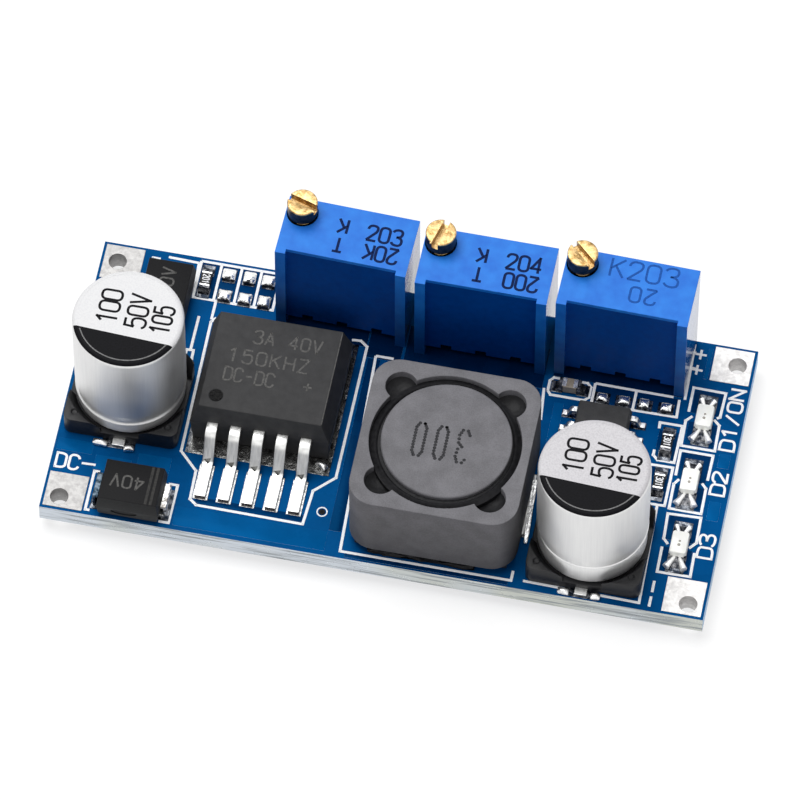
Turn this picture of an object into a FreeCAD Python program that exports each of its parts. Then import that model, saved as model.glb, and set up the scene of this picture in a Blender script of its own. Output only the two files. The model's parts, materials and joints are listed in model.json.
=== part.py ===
import FreeCAD, Part
import math
import operator
import os
from types import SimpleNamespace

import Sketcher
from FreeCAD import Placement, Rotation, Vector

os.makedirs("parts", exist_ok=True)
doc = FreeCAD.newDocument("buck_converter")

# Frame: X along the board, Y to the back, Z up.
# The origin is under the middle of the board, on the plane of the trimmers' cut pins.

SIZES = {
    # Bare board. Its length and width follow from the rows of parts on it, further down.
    "board_thick": 1.6,
    "pin_tail": 1.0,
    # Plated terminal holes and their square pads
    "terminal_hole": 1.3,
    "hole_inset_side": 1.25,
    "hole_inset_front": 1.08,
    "hole_inset_back": 1.52,
    "barrel_wall": 0.05,
    "pad_size": 2.85,
    "pad_inset": 0.2,
    "land_thick": 0.06,
    # Regulator, a five-lead power package
    "regulator_gap_left": 0.77,
    "regulator_gap_back": 0.885,
    "regulator_width": 10.16,
    "regulator_depth": 8.55,
    "regulator_height": 4.35,
    "regulator_parting": 2.45,
    "regulator_draft_width": 0.62,
    "regulator_draft_depth": 0.3,
    "regulator_foot_draft": 0.16,
    "regulator_dimple": 1.0,
    "regulator_dimple_depth": 0.12,
    "regulator_dimple_inset": 1.05,
    "tab_thick": 1.27,
    "tab_side_inset": 0.08,
    "tab_step": 0.9,
    "tab_front_wall": 1.65,
    "tab_reach": 1.3,
    "tab_chamfer": 0.9,
    "lead_pitch": 1.7,
    "lead_width": 0.8,
    "lead_thick": 0.4,
    "lead_height": 2.65,
    "lead_root": 0.7,
    "lead_knee": 1.25,
    "lead_span": 4.75,
    "lead_bend": 0.3,
    "lead_slope": 76.0,
    "lead_land_width": 1.1,
    "lead_land_length": 2.9,
    "tab_land_side": 0.25,
    "tab_land_front": 1.175,
    "tab_land_back": 0.125,
    # Electrolytic capacitors
    "input_capacitor_gap_left": 0.35,
    "input_capacitor_gap_front": 2.775,
    "output_capacitor_gap_left": 0.785,
    "output_capacitor_gap_front": 0.75,
    "output_end_gap": 4.72,
    "can_diameter": 8.0,
    "can_top": 10.2,
    "can_edge": 0.5,
    "can_foot": 0.5,
    "can_groove_height": 2.65,
    "can_groove_depth": 0.16,
    "can_groove_radius": 0.7,
    "base_margin": 0.15,
    "base_floor": 0.95,
    "base_post": 1.75,
    "base_post_length": 2.75,
    "base_chamfer": 1.9,
    "can_gap": 0.06,
    "cap_lead_width": 0.9,
    "cap_lead_thick": 0.25,
    "cap_lead_reach": 0.55,
    "cap_lead_length": 2.9,
    "cap_lead_gap": 0.05,
    "cap_land_width": 2.4,
    "cap_land_reach": 0.65,
    "cap_land_length": 3.2,
    # Shielded power inductor
    "inductor_gap_left": 2.465,
    "inductor_gap_front": 0.725,
    "inductor_gap_back": 4.835,
    "shield_size": 12.15,
    "shield_corner": 1.9,
    "shield_foot": 0.7,
    "shield_top": 6.95,
    "shield_wall": 0.775,
    "lobe_diameter": 2.3,
    "lobe_inset": 1.38,
    "coil_base_inset": 0.575,
    "drum_gap": 0.625,
    "drum_flange": 1.2,
    "drum_post": 4.4,
    "drum_top": 6.9,
    "coil_inset": 0.225,
    "glue_top": 6.0,
    "glue_depth": 1.0,
    "coil_clip_width": 5.0,
    "coil_clip_thick": 0.2,
    "coil_clip_length": 2.4,
    "coil_clip_reach": 0.1,
    "coil_land_width": 5.3,
    "coil_land_reach": 0.35,
    # Two diodes
    "catch_diode_gap_left": 0.68,
    "catch_diode_gap_front": 0.075,
    "input_diode_gap_left": 0.575,
    "input_diode_gap_front": 1.03,
    "input_diode_gap_back": 1.53,
    "diode_length": 4.5,
    "diode_width": 3.55,
    "diode_height": 2.3,
    "diode_parting": 1.2,
    "diode_draft": 0.14,
    "diode_foot": 0.24,
    "diode_lead_width": 2.0,
    "diode_lead_thick": 0.2,
    "diode_lead_reach": 0.42,
    "diode_lead_inward": 0.9,
    "diode_land_reach": 0.2,
    "diode_land_width": 2.6,
    "diode_land_length": 1.9,
    # Multi-turn trimmers
    "trimmer_1_gap_right": 0.73,
    "trimmer_1_overhang": 0.54,
    "trimmer_1_turn": -1.81,
    "trimmer_2_gap_right": 0.61,
    "trimmer_2_inset": 0.06,
    "trimmer_2_turn": -0.17,
    "trimmer_3_gap_right": 4.59,
    "trimmer_3_overhang": 0.22,
    "trimmer_3_turn": -1.14,
    "trimmer_length": 9.53,
    "trimmer_depth": 4.83,
    "trimmer_top": 9.64,
    "trimmer_standoff": 0.5,
    "trimmer_foot": 0.75,
    "trimmer_recess": 0.4,
    "potting_margin": 0.35,
    "potting_depth": 1.3,
    "potting_sink": 0.08,
    "pin_mark_width": 0.8,
    "pin_mark_height": 0.45,
    "pin_mark_depth": 0.6,
    "pin_pitch": 2.54,
    "pin_diameter": 0.5,
    "pin_root": 1.0,
    "pin_hole": 0.9,
    "joint_diameter": 1.8,
    "joint_height": 0.7,
    "joint_tip": 0.7,
    # Adjusting screws
    "screw_inset": 1.2,
    "screw_head": 2.19,
    "screw_proud": 1.45,
    "screw_land": 1.0,
    "screw_neck": 1.2,
    "screw_neck_length": 0.52,
    "screw_collar": 0.5,
    "screw_shank": 1.4,
    "screw_length": 5.5,
    "screw_edge": 0.12,
    "screw_slot_width": 0.56,
    "screw_slot_depth": 0.76,
    "screw_gap": 0.05,
    "screw_1_turn": 0.0,
    "screw_2_turn": 92.0,
    "screw_3_turn": -38.0,
    # Eight-pin amplifier
    "opamp_shift": 0.98,
    "opamp_gap_front": 1.4,
    "opamp_width": 3.9,
    "opamp_length": 4.9,
    "opamp_height": 1.55,
    "opamp_foot": 0.12,
    "opamp_parting": 0.8,
    "opamp_draft": 0.13,
    "opamp_pitch": 1.27,
    "opamp_lead_width": 0.42,
    "opamp_lead_thick": 0.2,
    "opamp_lead_height": 0.9,
    "opamp_lead_span": 1.05,
    "opamp_lead_knee": 0.25,
    "opamp_lead_bend": 0.1,
    "opamp_lead_slope": 70.0,
    "opamp_land_width": 0.6,
    "opamp_land_length": 1.1,
    # Indicator lamps, along Y
    "led_1_reach": 1.92,
    "led_1_gap_front": 1.15,
    "led_1_gap_back": 1.29,
    "led_2_reach": 1.82,
    "led_2_gap_front": 0.96,
    "led_3_reach": 2.02,
    "led_3_gap_front": 0.32,
    "led_length": 2.0,
    "led_width": 1.25,
    "led_base": 0.3,
    "led_cap": 0.32,
    "led_lens_length": 1.25,
    "led_lens_top_length": 1.0,
    "led_lens_top_width": 1.0,
    "led_lens_height": 0.5,
    "led_land_width": 1.35,
    "led_land_length": 1.45,
    "led_fillet_length": 0.75,
    # Chip resistors and the chip capacitor
    "resistor_1_gap_left": 0.275,
    "resistor_1_gap_right": 0.725,
    "resistor_1_inset": 1.97,
    "resistor_2_gap": 1.37,
    "resistor_2_shift": 0.8,
    "resistor_3_gap": 1.4,
    "resistor_3_shift": 2.57,
    "chip_length": 1.6,
    "chip_width": 0.8,
    "chip_cap": 0.3,
    "resistor_height": 0.45,
    "ceramic_along": 1.42,
    "ceramic_before": 1.09,
    "ceramic_height": 0.8,
    "chip_land_length": 0.9,
    "chip_land_width": 0.95,
    "chip_fillet_length": 0.3,
    "chip_fillet_height": 0.35,
    # Lands left without a part: a double row at the back and a row of four at the right
    "spare_row_gap_right": 0.655,
    "spare_row_inset": 2.06,
    "spare_row_pitch": 1.45,
    "spare_row_spacing": 1.78,
    "spare_pair_along": 3.41,
    "spare_pair_before": 1.42,
    "spare_pair_pitch": 1.55,
    "spare_land_length": 1.15,
    "spare_land_width": 0.95,
}


class Size:
    """A length and the sheet expression that gives it."""

    def __init__(self, text, value):
        self.text = text
        self.value = value

    def join(self, sign, work, other, swapped=False):
        other = as_size(other)
        first, second = (other, self) if swapped else (self, other)
        text = "(" + first.text + " " + sign + " " + second.text + ")"
        return Size(text, work(first.value, second.value))

    def __add__(self, other):
        return self.join("+", operator.add, other)

    def __radd__(self, other):
        return self.join("+", operator.add, other, True)

    def __sub__(self, other):
        return self.join("-", operator.sub, other)

    def __rsub__(self, other):
        return self.join("-", operator.sub, other, True)

    def __mul__(self, other):
        return self.join("*", operator.mul, other)

    def __rmul__(self, other):
        return self.join("*", operator.mul, other, True)

    def __truediv__(self, other):
        return self.join("/", operator.truediv, other)

    def __neg__(self):
        return self * -1


def as_size(number):
    if isinstance(number, Size):
        return number
    return Size("(" + str(number) + ")", float(number))


# The sheet of sizes: a name, its value and an alias that the expressions read.
sheet = doc.addObject("Spreadsheet::Sheet", "Sizes")
for row, (name, number) in enumerate(SIZES.items(), start=1):
    sheet.set("A" + str(row), name)
    sheet.set("B" + str(row), str(number))
    sheet.setAlias("B" + str(row), name)
doc.recompute()
s = SimpleNamespace(**{name: Size("Sizes." + name, number) for name, number in SIZES.items()})



def derive(name, size):
    """A size that follows from others, under a name of its own in the sheet."""
    row = str(len(vars(s)) + 1)
    sheet.set("A" + row, name)
    sheet.set("B" + row, "=" + size.text.replace("Sizes.", ""))
    sheet.setAlias("B" + row, name)
    setattr(s, name, Size("Sizes." + name, size.value))


def longest(*sizes):
    text = "max(" + "; ".join(size.text for size in sizes) + ")"
    return Size(text, max(size.value for size in sizes))


# Sizes that fit in or round another one
derive("tab_width", s.regulator_width - 2 * s.tab_side_inset)
derive("base_size", s.can_diameter + 2 * s.base_margin)
derive("shield_bore", s.shield_size - 2 * s.shield_wall)
derive("drum_diameter", s.shield_bore - 2 * s.drum_gap)
derive("led_lands", s.led_length - 2 * s.led_cap + 2 * s.led_land_length)

# The board is as long and as wide as its fullest row of parts, with the gaps between them.
corner = s.pad_inset + s.pad_size
middle_row = (s.input_capacitor_gap_left + s.base_size + s.regulator_gap_left + s.regulator_width
              + s.inductor_gap_left + s.shield_size + s.output_capacitor_gap_left + s.base_size
              + s.output_end_gap)
back_row = (corner + s.input_diode_gap_left + s.diode_width + s.resistor_1_gap_left + s.chip_width
            + s.resistor_1_gap_right + s.spare_land_width + 2 * s.spare_row_pitch
            + s.spare_row_gap_right + 3 * s.trimmer_length + s.trimmer_1_gap_right
            + s.trimmer_2_gap_right + s.trimmer_3_gap_right)
left_column = (s.catch_diode_gap_front + s.diode_width + s.input_capacitor_gap_front + s.base_size
               + s.input_diode_gap_front + s.diode_length + 2 * s.diode_lead_reach
               + s.input_diode_gap_back)
middle_column = (s.inductor_gap_front + s.shield_size + s.inductor_gap_back + s.trimmer_depth
                 + s.trimmer_2_inset)
lamp_column = (2 * corner + s.led_3_gap_front + s.led_2_gap_front + s.led_1_gap_front
               + s.led_1_gap_back + 3 * s.led_lands)
derive("board_length", longest(middle_row, back_row))
derive("board_width", longest(left_column, middle_column, lamp_column))
derive("board_end", s.board_length / 2)
derive("board_side", s.board_width / 2)

# Places along the board, each from its neighbour on the left, or on the right in the trimmers' row
derive("input_capacitor_x", s.input_capacitor_gap_left + s.base_size / 2 - s.board_end)
derive("regulator_x", s.input_capacitor_x + s.base_size / 2 + s.regulator_gap_left + s.regulator_width / 2)
derive("inductor_x", s.regulator_x + s.regulator_width / 2 + s.inductor_gap_left + s.shield_size / 2)
derive("output_capacitor_x",
       s.inductor_x + s.shield_size / 2 + s.output_capacitor_gap_left + s.base_size / 2)
for lamp in ("led_1", "led_2", "led_3"):
    derive(lamp + "_x", s.output_capacitor_x + s.base_size / 2 + getattr(s, lamp + "_reach"))
derive("catch_diode_x",
       corner - s.board_end + s.catch_diode_gap_left + s.diode_lead_reach + s.diode_length / 2)
derive("input_diode_x", corner - s.board_end + s.input_diode_gap_left + s.diode_width / 2)
derive("opamp_x", s.output_capacitor_x - s.opamp_shift)
lead_tips = s.opamp_x + s.opamp_width / 2 + s.opamp_lead_span
derive("resistor_2_x", lead_tips + s.resistor_2_gap + s.chip_width / 2)
derive("resistor_3_x", lead_tips + s.resistor_3_gap + s.chip_width / 2)
derive("trimmer_3_x", s.board_end - s.trimmer_3_gap_right - s.trimmer_length)
derive("trimmer_2_x", s.trimmer_3_x - s.trimmer_2_gap_right - s.trimmer_length)
derive("trimmer_1_x", s.trimmer_2_x - s.trimmer_1_gap_right - s.trimmer_length)
derive("spare_row_x",
       s.trimmer_1_x - s.spare_row_gap_right - s.spare_land_width / 2 - 2 * s.spare_row_pitch)
derive("resistor_1_x", s.spare_row_x - s.spare_land_width / 2 - s.resistor_1_gap_right - s.chip_width / 2)
derive("ceramic_x", s.trimmer_3_x + s.ceramic_along)
derive("spare_pair_x", s.trimmer_3_x + s.trimmer_length - s.spare_pair_along)

# Places across the board, from the front edge or from the back one
derive("inductor_y", s.inductor_gap_front + s.shield_size / 2 - s.board_side)
derive("output_capacitor_y", s.output_capacitor_gap_front + s.base_size / 2 - s.board_side)
derive("opamp_y", s.output_capacitor_y + s.base_size / 2 + s.opamp_gap_front + s.opamp_length / 2)
derive("resistor_2_y", s.opamp_y + s.resistor_2_shift)
derive("resistor_3_y", s.opamp_y - s.resistor_3_shift)
derive("catch_diode_y", s.catch_diode_gap_front + s.diode_width / 2 - s.board_side)
derive("input_capacitor_y",
       s.catch_diode_y + s.diode_width / 2 + s.input_capacitor_gap_front + s.base_size / 2)
derive("input_diode_y",
       s.input_capacitor_y + s.base_size / 2 + s.input_diode_gap_front + s.diode_lead_reach
       + s.diode_length / 2)
derive("led_3_y", corner - s.board_side + s.led_3_gap_front + s.led_lands / 2)
derive("led_2_y", s.led_3_y + s.led_lands + s.led_2_gap_front)
derive("led_1_y", s.led_2_y + s.led_lands + s.led_1_gap_front)
derive("trimmer_1_y", s.board_side + s.trimmer_1_overhang - s.trimmer_depth)
derive("trimmer_2_y", s.board_side - s.trimmer_2_inset - s.trimmer_depth)
derive("trimmer_3_y", s.board_side + s.trimmer_3_overhang - s.trimmer_depth)
derive("regulator_y",
       s.trimmer_1_y - s.regulator_gap_back - s.tab_reach - s.regulator_depth / 2)
derive("resistor_1_y", s.board_side - s.resistor_1_inset)
derive("spare_row_y", s.board_side - s.spare_row_inset)
derive("ceramic_y", s.trimmer_3_y - s.ceramic_before)
derive("spare_pair_y", s.trimmer_3_y - s.spare_pair_before)
doc.recompute()

nodes = []


def bind(thing, prop, size):
    """Ties a property to the sheet."""
    size = as_size(size)
    thing.setExpression(prop, size.text)


def place(thing, x=0, y=0, z=0, turn=None):
    """Puts a thing on the board, turned about Z where a turn is given."""
    thing.Placement = Placement(Vector(0, 0, 0), Rotation(Vector(0, 0, 1), 1))
    bind(thing, "Placement.Base.x", x)
    bind(thing, "Placement.Base.y", y)
    bind(thing, "Placement.Base.z", z)
    angle = as_size(0 if turn is None else turn)
    thing.setExpression("Placement.Rotation.Angle", angle.text + " * 1 deg")
    return thing


def node(thing):
    """Keeps a thing as one of the model's named pieces."""
    nodes.append(thing)
    return thing


def new_body(label):
    body = doc.addObject("PartDesign::Body", label)
    body.Label = label
    body.AllowCompound = True
    return body


def new_sketch(body, role, lift=0, shift=None):
    """A sketch on one of the body's own planes, raised along the plane's normal."""
    sketch = body.newObject("Sketcher::SketchObject", body.Label + "_sketch")
    plane = [item for item in body.Origin.OriginFeatures if item.Role == role][0]
    sketch.AttachmentSupport = [(plane, "")]
    sketch.MapMode = "FlatFace"
    if shift is not None:
        x, y, turn = shift
        sketch.AttachmentOffset = Placement(Vector(0, 0, 0), Rotation(Vector(0, 0, 1), 1))
        bind(sketch, "AttachmentOffset.Base.x", x)
        bind(sketch, "AttachmentOffset.Base.y", y)
        sketch.setExpression("AttachmentOffset.Rotation.Angle", turn.text + " * 1 deg")
    bind(sketch, "AttachmentOffset.Base.z", lift)
    return sketch


def hold(sketch, geometry, point, way, size):
    """Fixes one coordinate of a point, on the axis where it is nought."""
    size = as_size(size)
    if size.text == "(0)":
        axis = -2 if way == "X" else -1
        sketch.addConstraint(Sketcher.Constraint("PointOnObject", geometry, point, axis))
        return
    rule = Sketcher.Constraint("Distance" + way, -1, 1, geometry, point, size.value)
    number = sketch.addConstraint(rule)
    sketch.setExpression("Constraints[" + str(number) + "]", size.text)


def outline(sketch, points):
    """A closed outline of straight edges, with level and upright edges kept so."""
    first = sketch.GeometryCount
    count = len(points)
    points = [(as_size(x), as_size(y)) for x, y in points]
    places = [Vector(x.value, y.value, 0) for x, y in points]
    for number in range(count):
        edge = Part.LineSegment(places[number], places[(number + 1) % count])
        sketch.addGeometry(edge, False)
    for number in range(count):
        before = first + (number - 1) % count
        sketch.addConstraint(Sketcher.Constraint("Coincident", before, 2, first + number, 1))
    for number, (x, y) in enumerate(points):
        last_x, last_y = points[number - 1]
        before = first + number - 1
        if number and x.text == last_x.text:
            sketch.addConstraint(Sketcher.Constraint("Vertical", before))
        else:
            hold(sketch, first + number, 1, "X", x)
        if number and y.text == last_y.text:
            sketch.addConstraint(Sketcher.Constraint("Horizontal", before))
        else:
            hold(sketch, first + number, 1, "Y", y)


def rectangle(sketch, west, east, south, north):
    outline(sketch, [(west, south), (east, south), (east, north), (west, north)])


def centred(sketch, width, depth):
    rectangle(sketch, -(width / 2), width / 2, -(depth / 2), depth / 2)


def circle(sketch, x, y, diameter):
    x, y, diameter = as_size(x), as_size(y), as_size(diameter)
    middle = Vector(x.value, y.value, 0)
    ring = Part.Circle(middle, Vector(0, 0, 1), diameter.value / 2)
    number = sketch.addGeometry(ring, False)
    hold(sketch, number, 3, "X", x)
    hold(sketch, number, 3, "Y", y)
    rule = sketch.addConstraint(Sketcher.Constraint("Diameter", number, diameter.value))
    sketch.setExpression("Constraints[" + str(rule) + "]", diameter.text)


def gull_wing(sketch, span, height, thick, knee, bend, slope, root):
    """Side view of a formed lead: out of the body, down a steep leg and along the board.

    The body's wall is at x = 0, and the root reaches behind it.
    """
    angle = math.radians(slope.value)
    outer = bend + thick
    across = Vector(math.sin(angle), math.cos(angle), 0)
    drop = 2 * outer.value - height.value
    run = (2 * bend.value + thick.value - drop * math.cos(angle)) / math.sin(angle)
    top = Vector(knee.value, height.value - outer.value, 0)
    low = Vector(knee.value + run, outer.value, 0)
    start = -root.value
    lines = [
        (Vector(start, height.value, 0), Vector(knee.value, height.value, 0)),
        (top + across * outer.value, low - across * bend.value),
        (Vector(low.x, thick.value, 0), Vector(span.value, thick.value, 0)),
        (Vector(span.value, thick.value, 0), Vector(span.value, 0, 0)),
        (Vector(span.value, 0, 0), Vector(low.x, 0, 0)),
        (low - across * outer.value, top + across * bend.value),
        (Vector(knee.value, height.value - thick.value, 0), Vector(start, height.value - thick.value, 0)),
        (Vector(start, height.value - thick.value, 0), Vector(start, height.value, 0)),
    ]
    for begin, end in lines:
        sketch.addGeometry(Part.LineSegment(begin, end), False)
    upper, leg, toe, tip, sole, back, under, end = range(8)
    quarter = math.pi / 2
    arcs = [
        (top, outer, quarter - angle, quarter),
        (low, bend, 3 * quarter - angle, 3 * quarter),
        (low, outer, 3 * quarter - angle, 3 * quarter),
        (top, bend, quarter - angle, quarter),
    ]
    for middle, radius, begin, finish in arcs:
        ring = Part.Circle(middle, Vector(0, 0, 1), radius.value)
        sketch.addGeometry(Part.ArcOfCircle(ring, begin, finish), False)
    knee_out, heel_in, heel_out, knee_in = range(8, 12)
    tangents = [
        (upper, 2, knee_out, 2),
        (knee_out, 1, leg, 1),
        (leg, 2, heel_in, 1),
        (heel_in, 2, toe, 1),
        (sole, 2, heel_out, 2),
        (heel_out, 1, back, 1),
        (back, 2, knee_in, 1),
        (knee_in, 2, under, 1),
    ]
    for pair in tangents:
        sketch.addConstraint(Sketcher.Constraint("Tangent", *pair))
    corners = [(toe, 2, tip, 1), (tip, 2, sole, 1), (under, 2, end, 1), (end, 2, upper, 1)]
    for pair in corners:
        sketch.addConstraint(Sketcher.Constraint("Coincident", *pair))
    for line in (upper, toe, sole, under):
        sketch.addConstraint(Sketcher.Constraint("Horizontal", line))
    for line in (tip, end):
        sketch.addConstraint(Sketcher.Constraint("Vertical", line))
    sketch.addConstraint(Sketcher.Constraint("Coincident", knee_out, 3, knee_in, 3))
    sketch.addConstraint(Sketcher.Constraint("Coincident", heel_in, 3, heel_out, 3))
    for arc, radius in ((knee_in, bend), (heel_in, bend), (knee_out, outer), (heel_out, outer)):
        rule = sketch.addConstraint(Sketcher.Constraint("Radius", arc, radius.value))
        sketch.setExpression("Constraints[" + str(rule) + "]", radius.text)
    hold(sketch, upper, 1, "X", -root)
    hold(sketch, upper, 1, "Y", height)
    hold(sketch, sole, 1, "X", span)
    hold(sketch, sole, 1, "Y", 0)
    hold(sketch, knee_out, 3, "X", knee)
    rule = sketch.addConstraint(Sketcher.Constraint("Angle", leg, -angle))
    sketch.setExpression("Constraints[" + str(rule) + "]", "-" + slope.text + " * 1 deg")


def pad(body, sketch, length, middle=False):
    feature = body.newObject("PartDesign::Pad", body.Label + "_pad")
    feature.Profile = sketch
    bind(feature, "Length", length)
    feature.Midplane = middle
    doc.recompute()
    return feature


def pocket(body, sketch, depth, turned=False):
    """Cuts the sketch's outline into the body, and makes sure that it took something away."""
    before = body.Tip.Shape.Volume
    feature = body.newObject("PartDesign::Pocket", body.Label + "_pocket")
    feature.Profile = sketch
    bind(feature, "Length", depth)
    feature.Reversed = turned
    doc.recompute()
    if not feature.Shape.Volume < before:
        raise ValueError(feature.Name + " cuts nothing")
    return feature


def around(body, sketch, kind="PartDesign::Revolution"):
    """Turns the sketch about its own upright axis, to add or to cut."""
    feature = body.newObject(kind, body.Label + "_turned")
    feature.Profile = sketch
    feature.ReferenceAxis = (sketch, ["V_Axis"])
    feature.Angle = 360
    doc.recompute()
    return feature


def row_of(body, feature, sketch, axis, pitch, count):
    """Repeats a feature in a line along one of its sketch's axes."""
    pattern = body.newObject("PartDesign::LinearPattern", body.Label + "_row")
    pattern.Originals = [feature]
    pattern.Direction = (sketch, [axis])
    bind(pattern, "Length", pitch * (count - 1))
    pattern.Occurrences = count
    body.Tip = pattern
    doc.recompute()
    return pattern


def round_edges(body, kind, size, wanted):
    """Fillets or chamfers the edges that the test picks."""
    base = body.Tip
    picked = ["Edge" + str(n) for n, edge in enumerate(base.Shape.Edges, start=1) if wanted(edge)]
    feature = body.newObject("PartDesign::" + kind, body.Label + "_" + kind.lower())
    feature.Base = (base, picked)
    bind(feature, "Radius" if kind == "Fillet" else "Size", size)
    doc.recompute()
    return feature


def upright(edge):
    """True for a straight edge along Z."""
    along = edge.Vertexes[-1].Point - edge.Vertexes[0].Point
    return math.hypot(along.x, along.y) < 1e-6 and abs(along.z) > 1e-6


def block(body, low_sizes, low, high_sizes, high):
    """A block that tapers evenly from one rectangle to another above or below it."""
    profile = new_sketch(body, "XY_Plane", low)
    centred(profile, *low_sizes)
    section = new_sketch(body, "XY_Plane", high)
    centred(section, *high_sizes)
    loft = body.newObject("PartDesign::AdditiveLoft", body.Label + "_loft")
    loft.Profile = profile
    loft.Sections = [section]
    loft.Ruled = True
    doc.recompute()
    return loft


def slab(label, west, south, low, length, width, height):
    """A plain rectangular piece given by its lowest corner and its three sizes."""
    box = doc.addObject("Part::Box", label)
    box.Label = label
    bind(box, "Length", length)
    bind(box, "Width", width)
    bind(box, "Height", height)
    return place(box, west, south, low)


def centred_slab(label, x, y, low, length, width, height):
    return slab(label, x - length / 2, y - width / 2, low, length, width, height)


def rod(label, x, y, low, diameter, height):
    cylinder = doc.addObject("Part::Cylinder", label)
    cylinder.Label = label
    bind(cylinder, "Radius", diameter / 2)
    bind(cylinder, "Height", height)
    return place(cylinder, x, y, low)


def group(label, things):
    """Several like solids that share one name."""
    compound = doc.addObject("Part::Compound", label)
    compound.Label = label
    compound.Links = things
    return node(compound)


# Levels
board_top = s.pin_tail + s.board_thick
seat = board_top + s.land_thick

TRIMMERS = ("trimmer_1", "trimmer_2", "trimmer_3")
PINS = ("left", "middle", "right")


def trimmer_spot(name):
    """Where a trimmer's front left corner stands, and how far it is turned."""
    return getattr(s, name + "_x"), getattr(s, name + "_y"), getattr(s, name + "_turn")


first_pin = s.trimmer_length / 2 - s.pin_pitch
pin_line = s.trimmer_depth / 2


def terminal_spots():
    """The four corner terminals: hole centre, pad centre and a name."""
    spots = []
    for side, sign in (("left", -1), ("right", 1)):
        hole_x = sign * (s.board_length / 2 - s.hole_inset_side)
        pad_x = sign * (s.board_length / 2 - s.pad_inset - s.pad_size / 2)
        hole_front = s.hole_inset_front - s.board_width / 2
        hole_back = s.board_width / 2 - s.hole_inset_back
        pad_y = s.board_width / 2 - s.pad_inset - s.pad_size / 2
        spots.append((side + "_front", hole_x, hole_front, pad_x, -pad_y))
        spots.append((side + "_back", hole_x, hole_back, pad_x, pad_y))
    return spots


def make_board():
    body = new_body("board")
    sketch = new_sketch(body, "XY_Plane", s.pin_tail)
    centred(sketch, s.board_length, s.board_width)
    pad(body, sketch, s.board_thick)
    holes = new_sketch(body, "XY_Plane", s.pin_tail)
    for _, x, y, _, _ in terminal_spots():
        circle(holes, x, y, s.terminal_hole + 2 * s.barrel_wall)
    pocket(body, holes, s.board_thick, turned=True)
    for name in TRIMMERS:
        holes = new_sketch(body, "XY_Plane", s.pin_tail, trimmer_spot(name))
        for pin in range(len(PINS)):
            circle(holes, first_pin + pin * s.pin_pitch, pin_line, s.pin_hole)
        pocket(body, holes, s.board_thick, turned=True)
    node(body)


def make_terminal_pads():
    """Each corner has a square land on both faces, joined by the plated wall of its hole."""
    pads = []
    for name, hole_x, hole_y, pad_x, pad_y in terminal_spots():
        label = "terminal_pad_" + name
        size = s.pad_size
        upper = centred_slab(label + "_upper", pad_x, pad_y, board_top, size, size, s.land_thick)
        under = s.pin_tail - s.land_thick
        lower = centred_slab(label + "_lower", pad_x, pad_y, under, size, size, s.land_thick)
        outside = s.terminal_hole + 2 * s.barrel_wall
        barrel = rod(label + "_barrel", hole_x, hole_y, s.pin_tail, outside, s.board_thick)
        solid = doc.addObject("Part::MultiFuse", label + "_solid")
        solid.Shapes = [upper, lower, barrel]
        through = rod(label + "_hole", hole_x, hole_y, 0, s.terminal_hole, seat + s.land_thick)
        cut = doc.addObject("Part::Cut", label)
        cut.Base = solid
        cut.Tool = through
        pads.append(cut)
    group("terminal_pads", pads)


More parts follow.
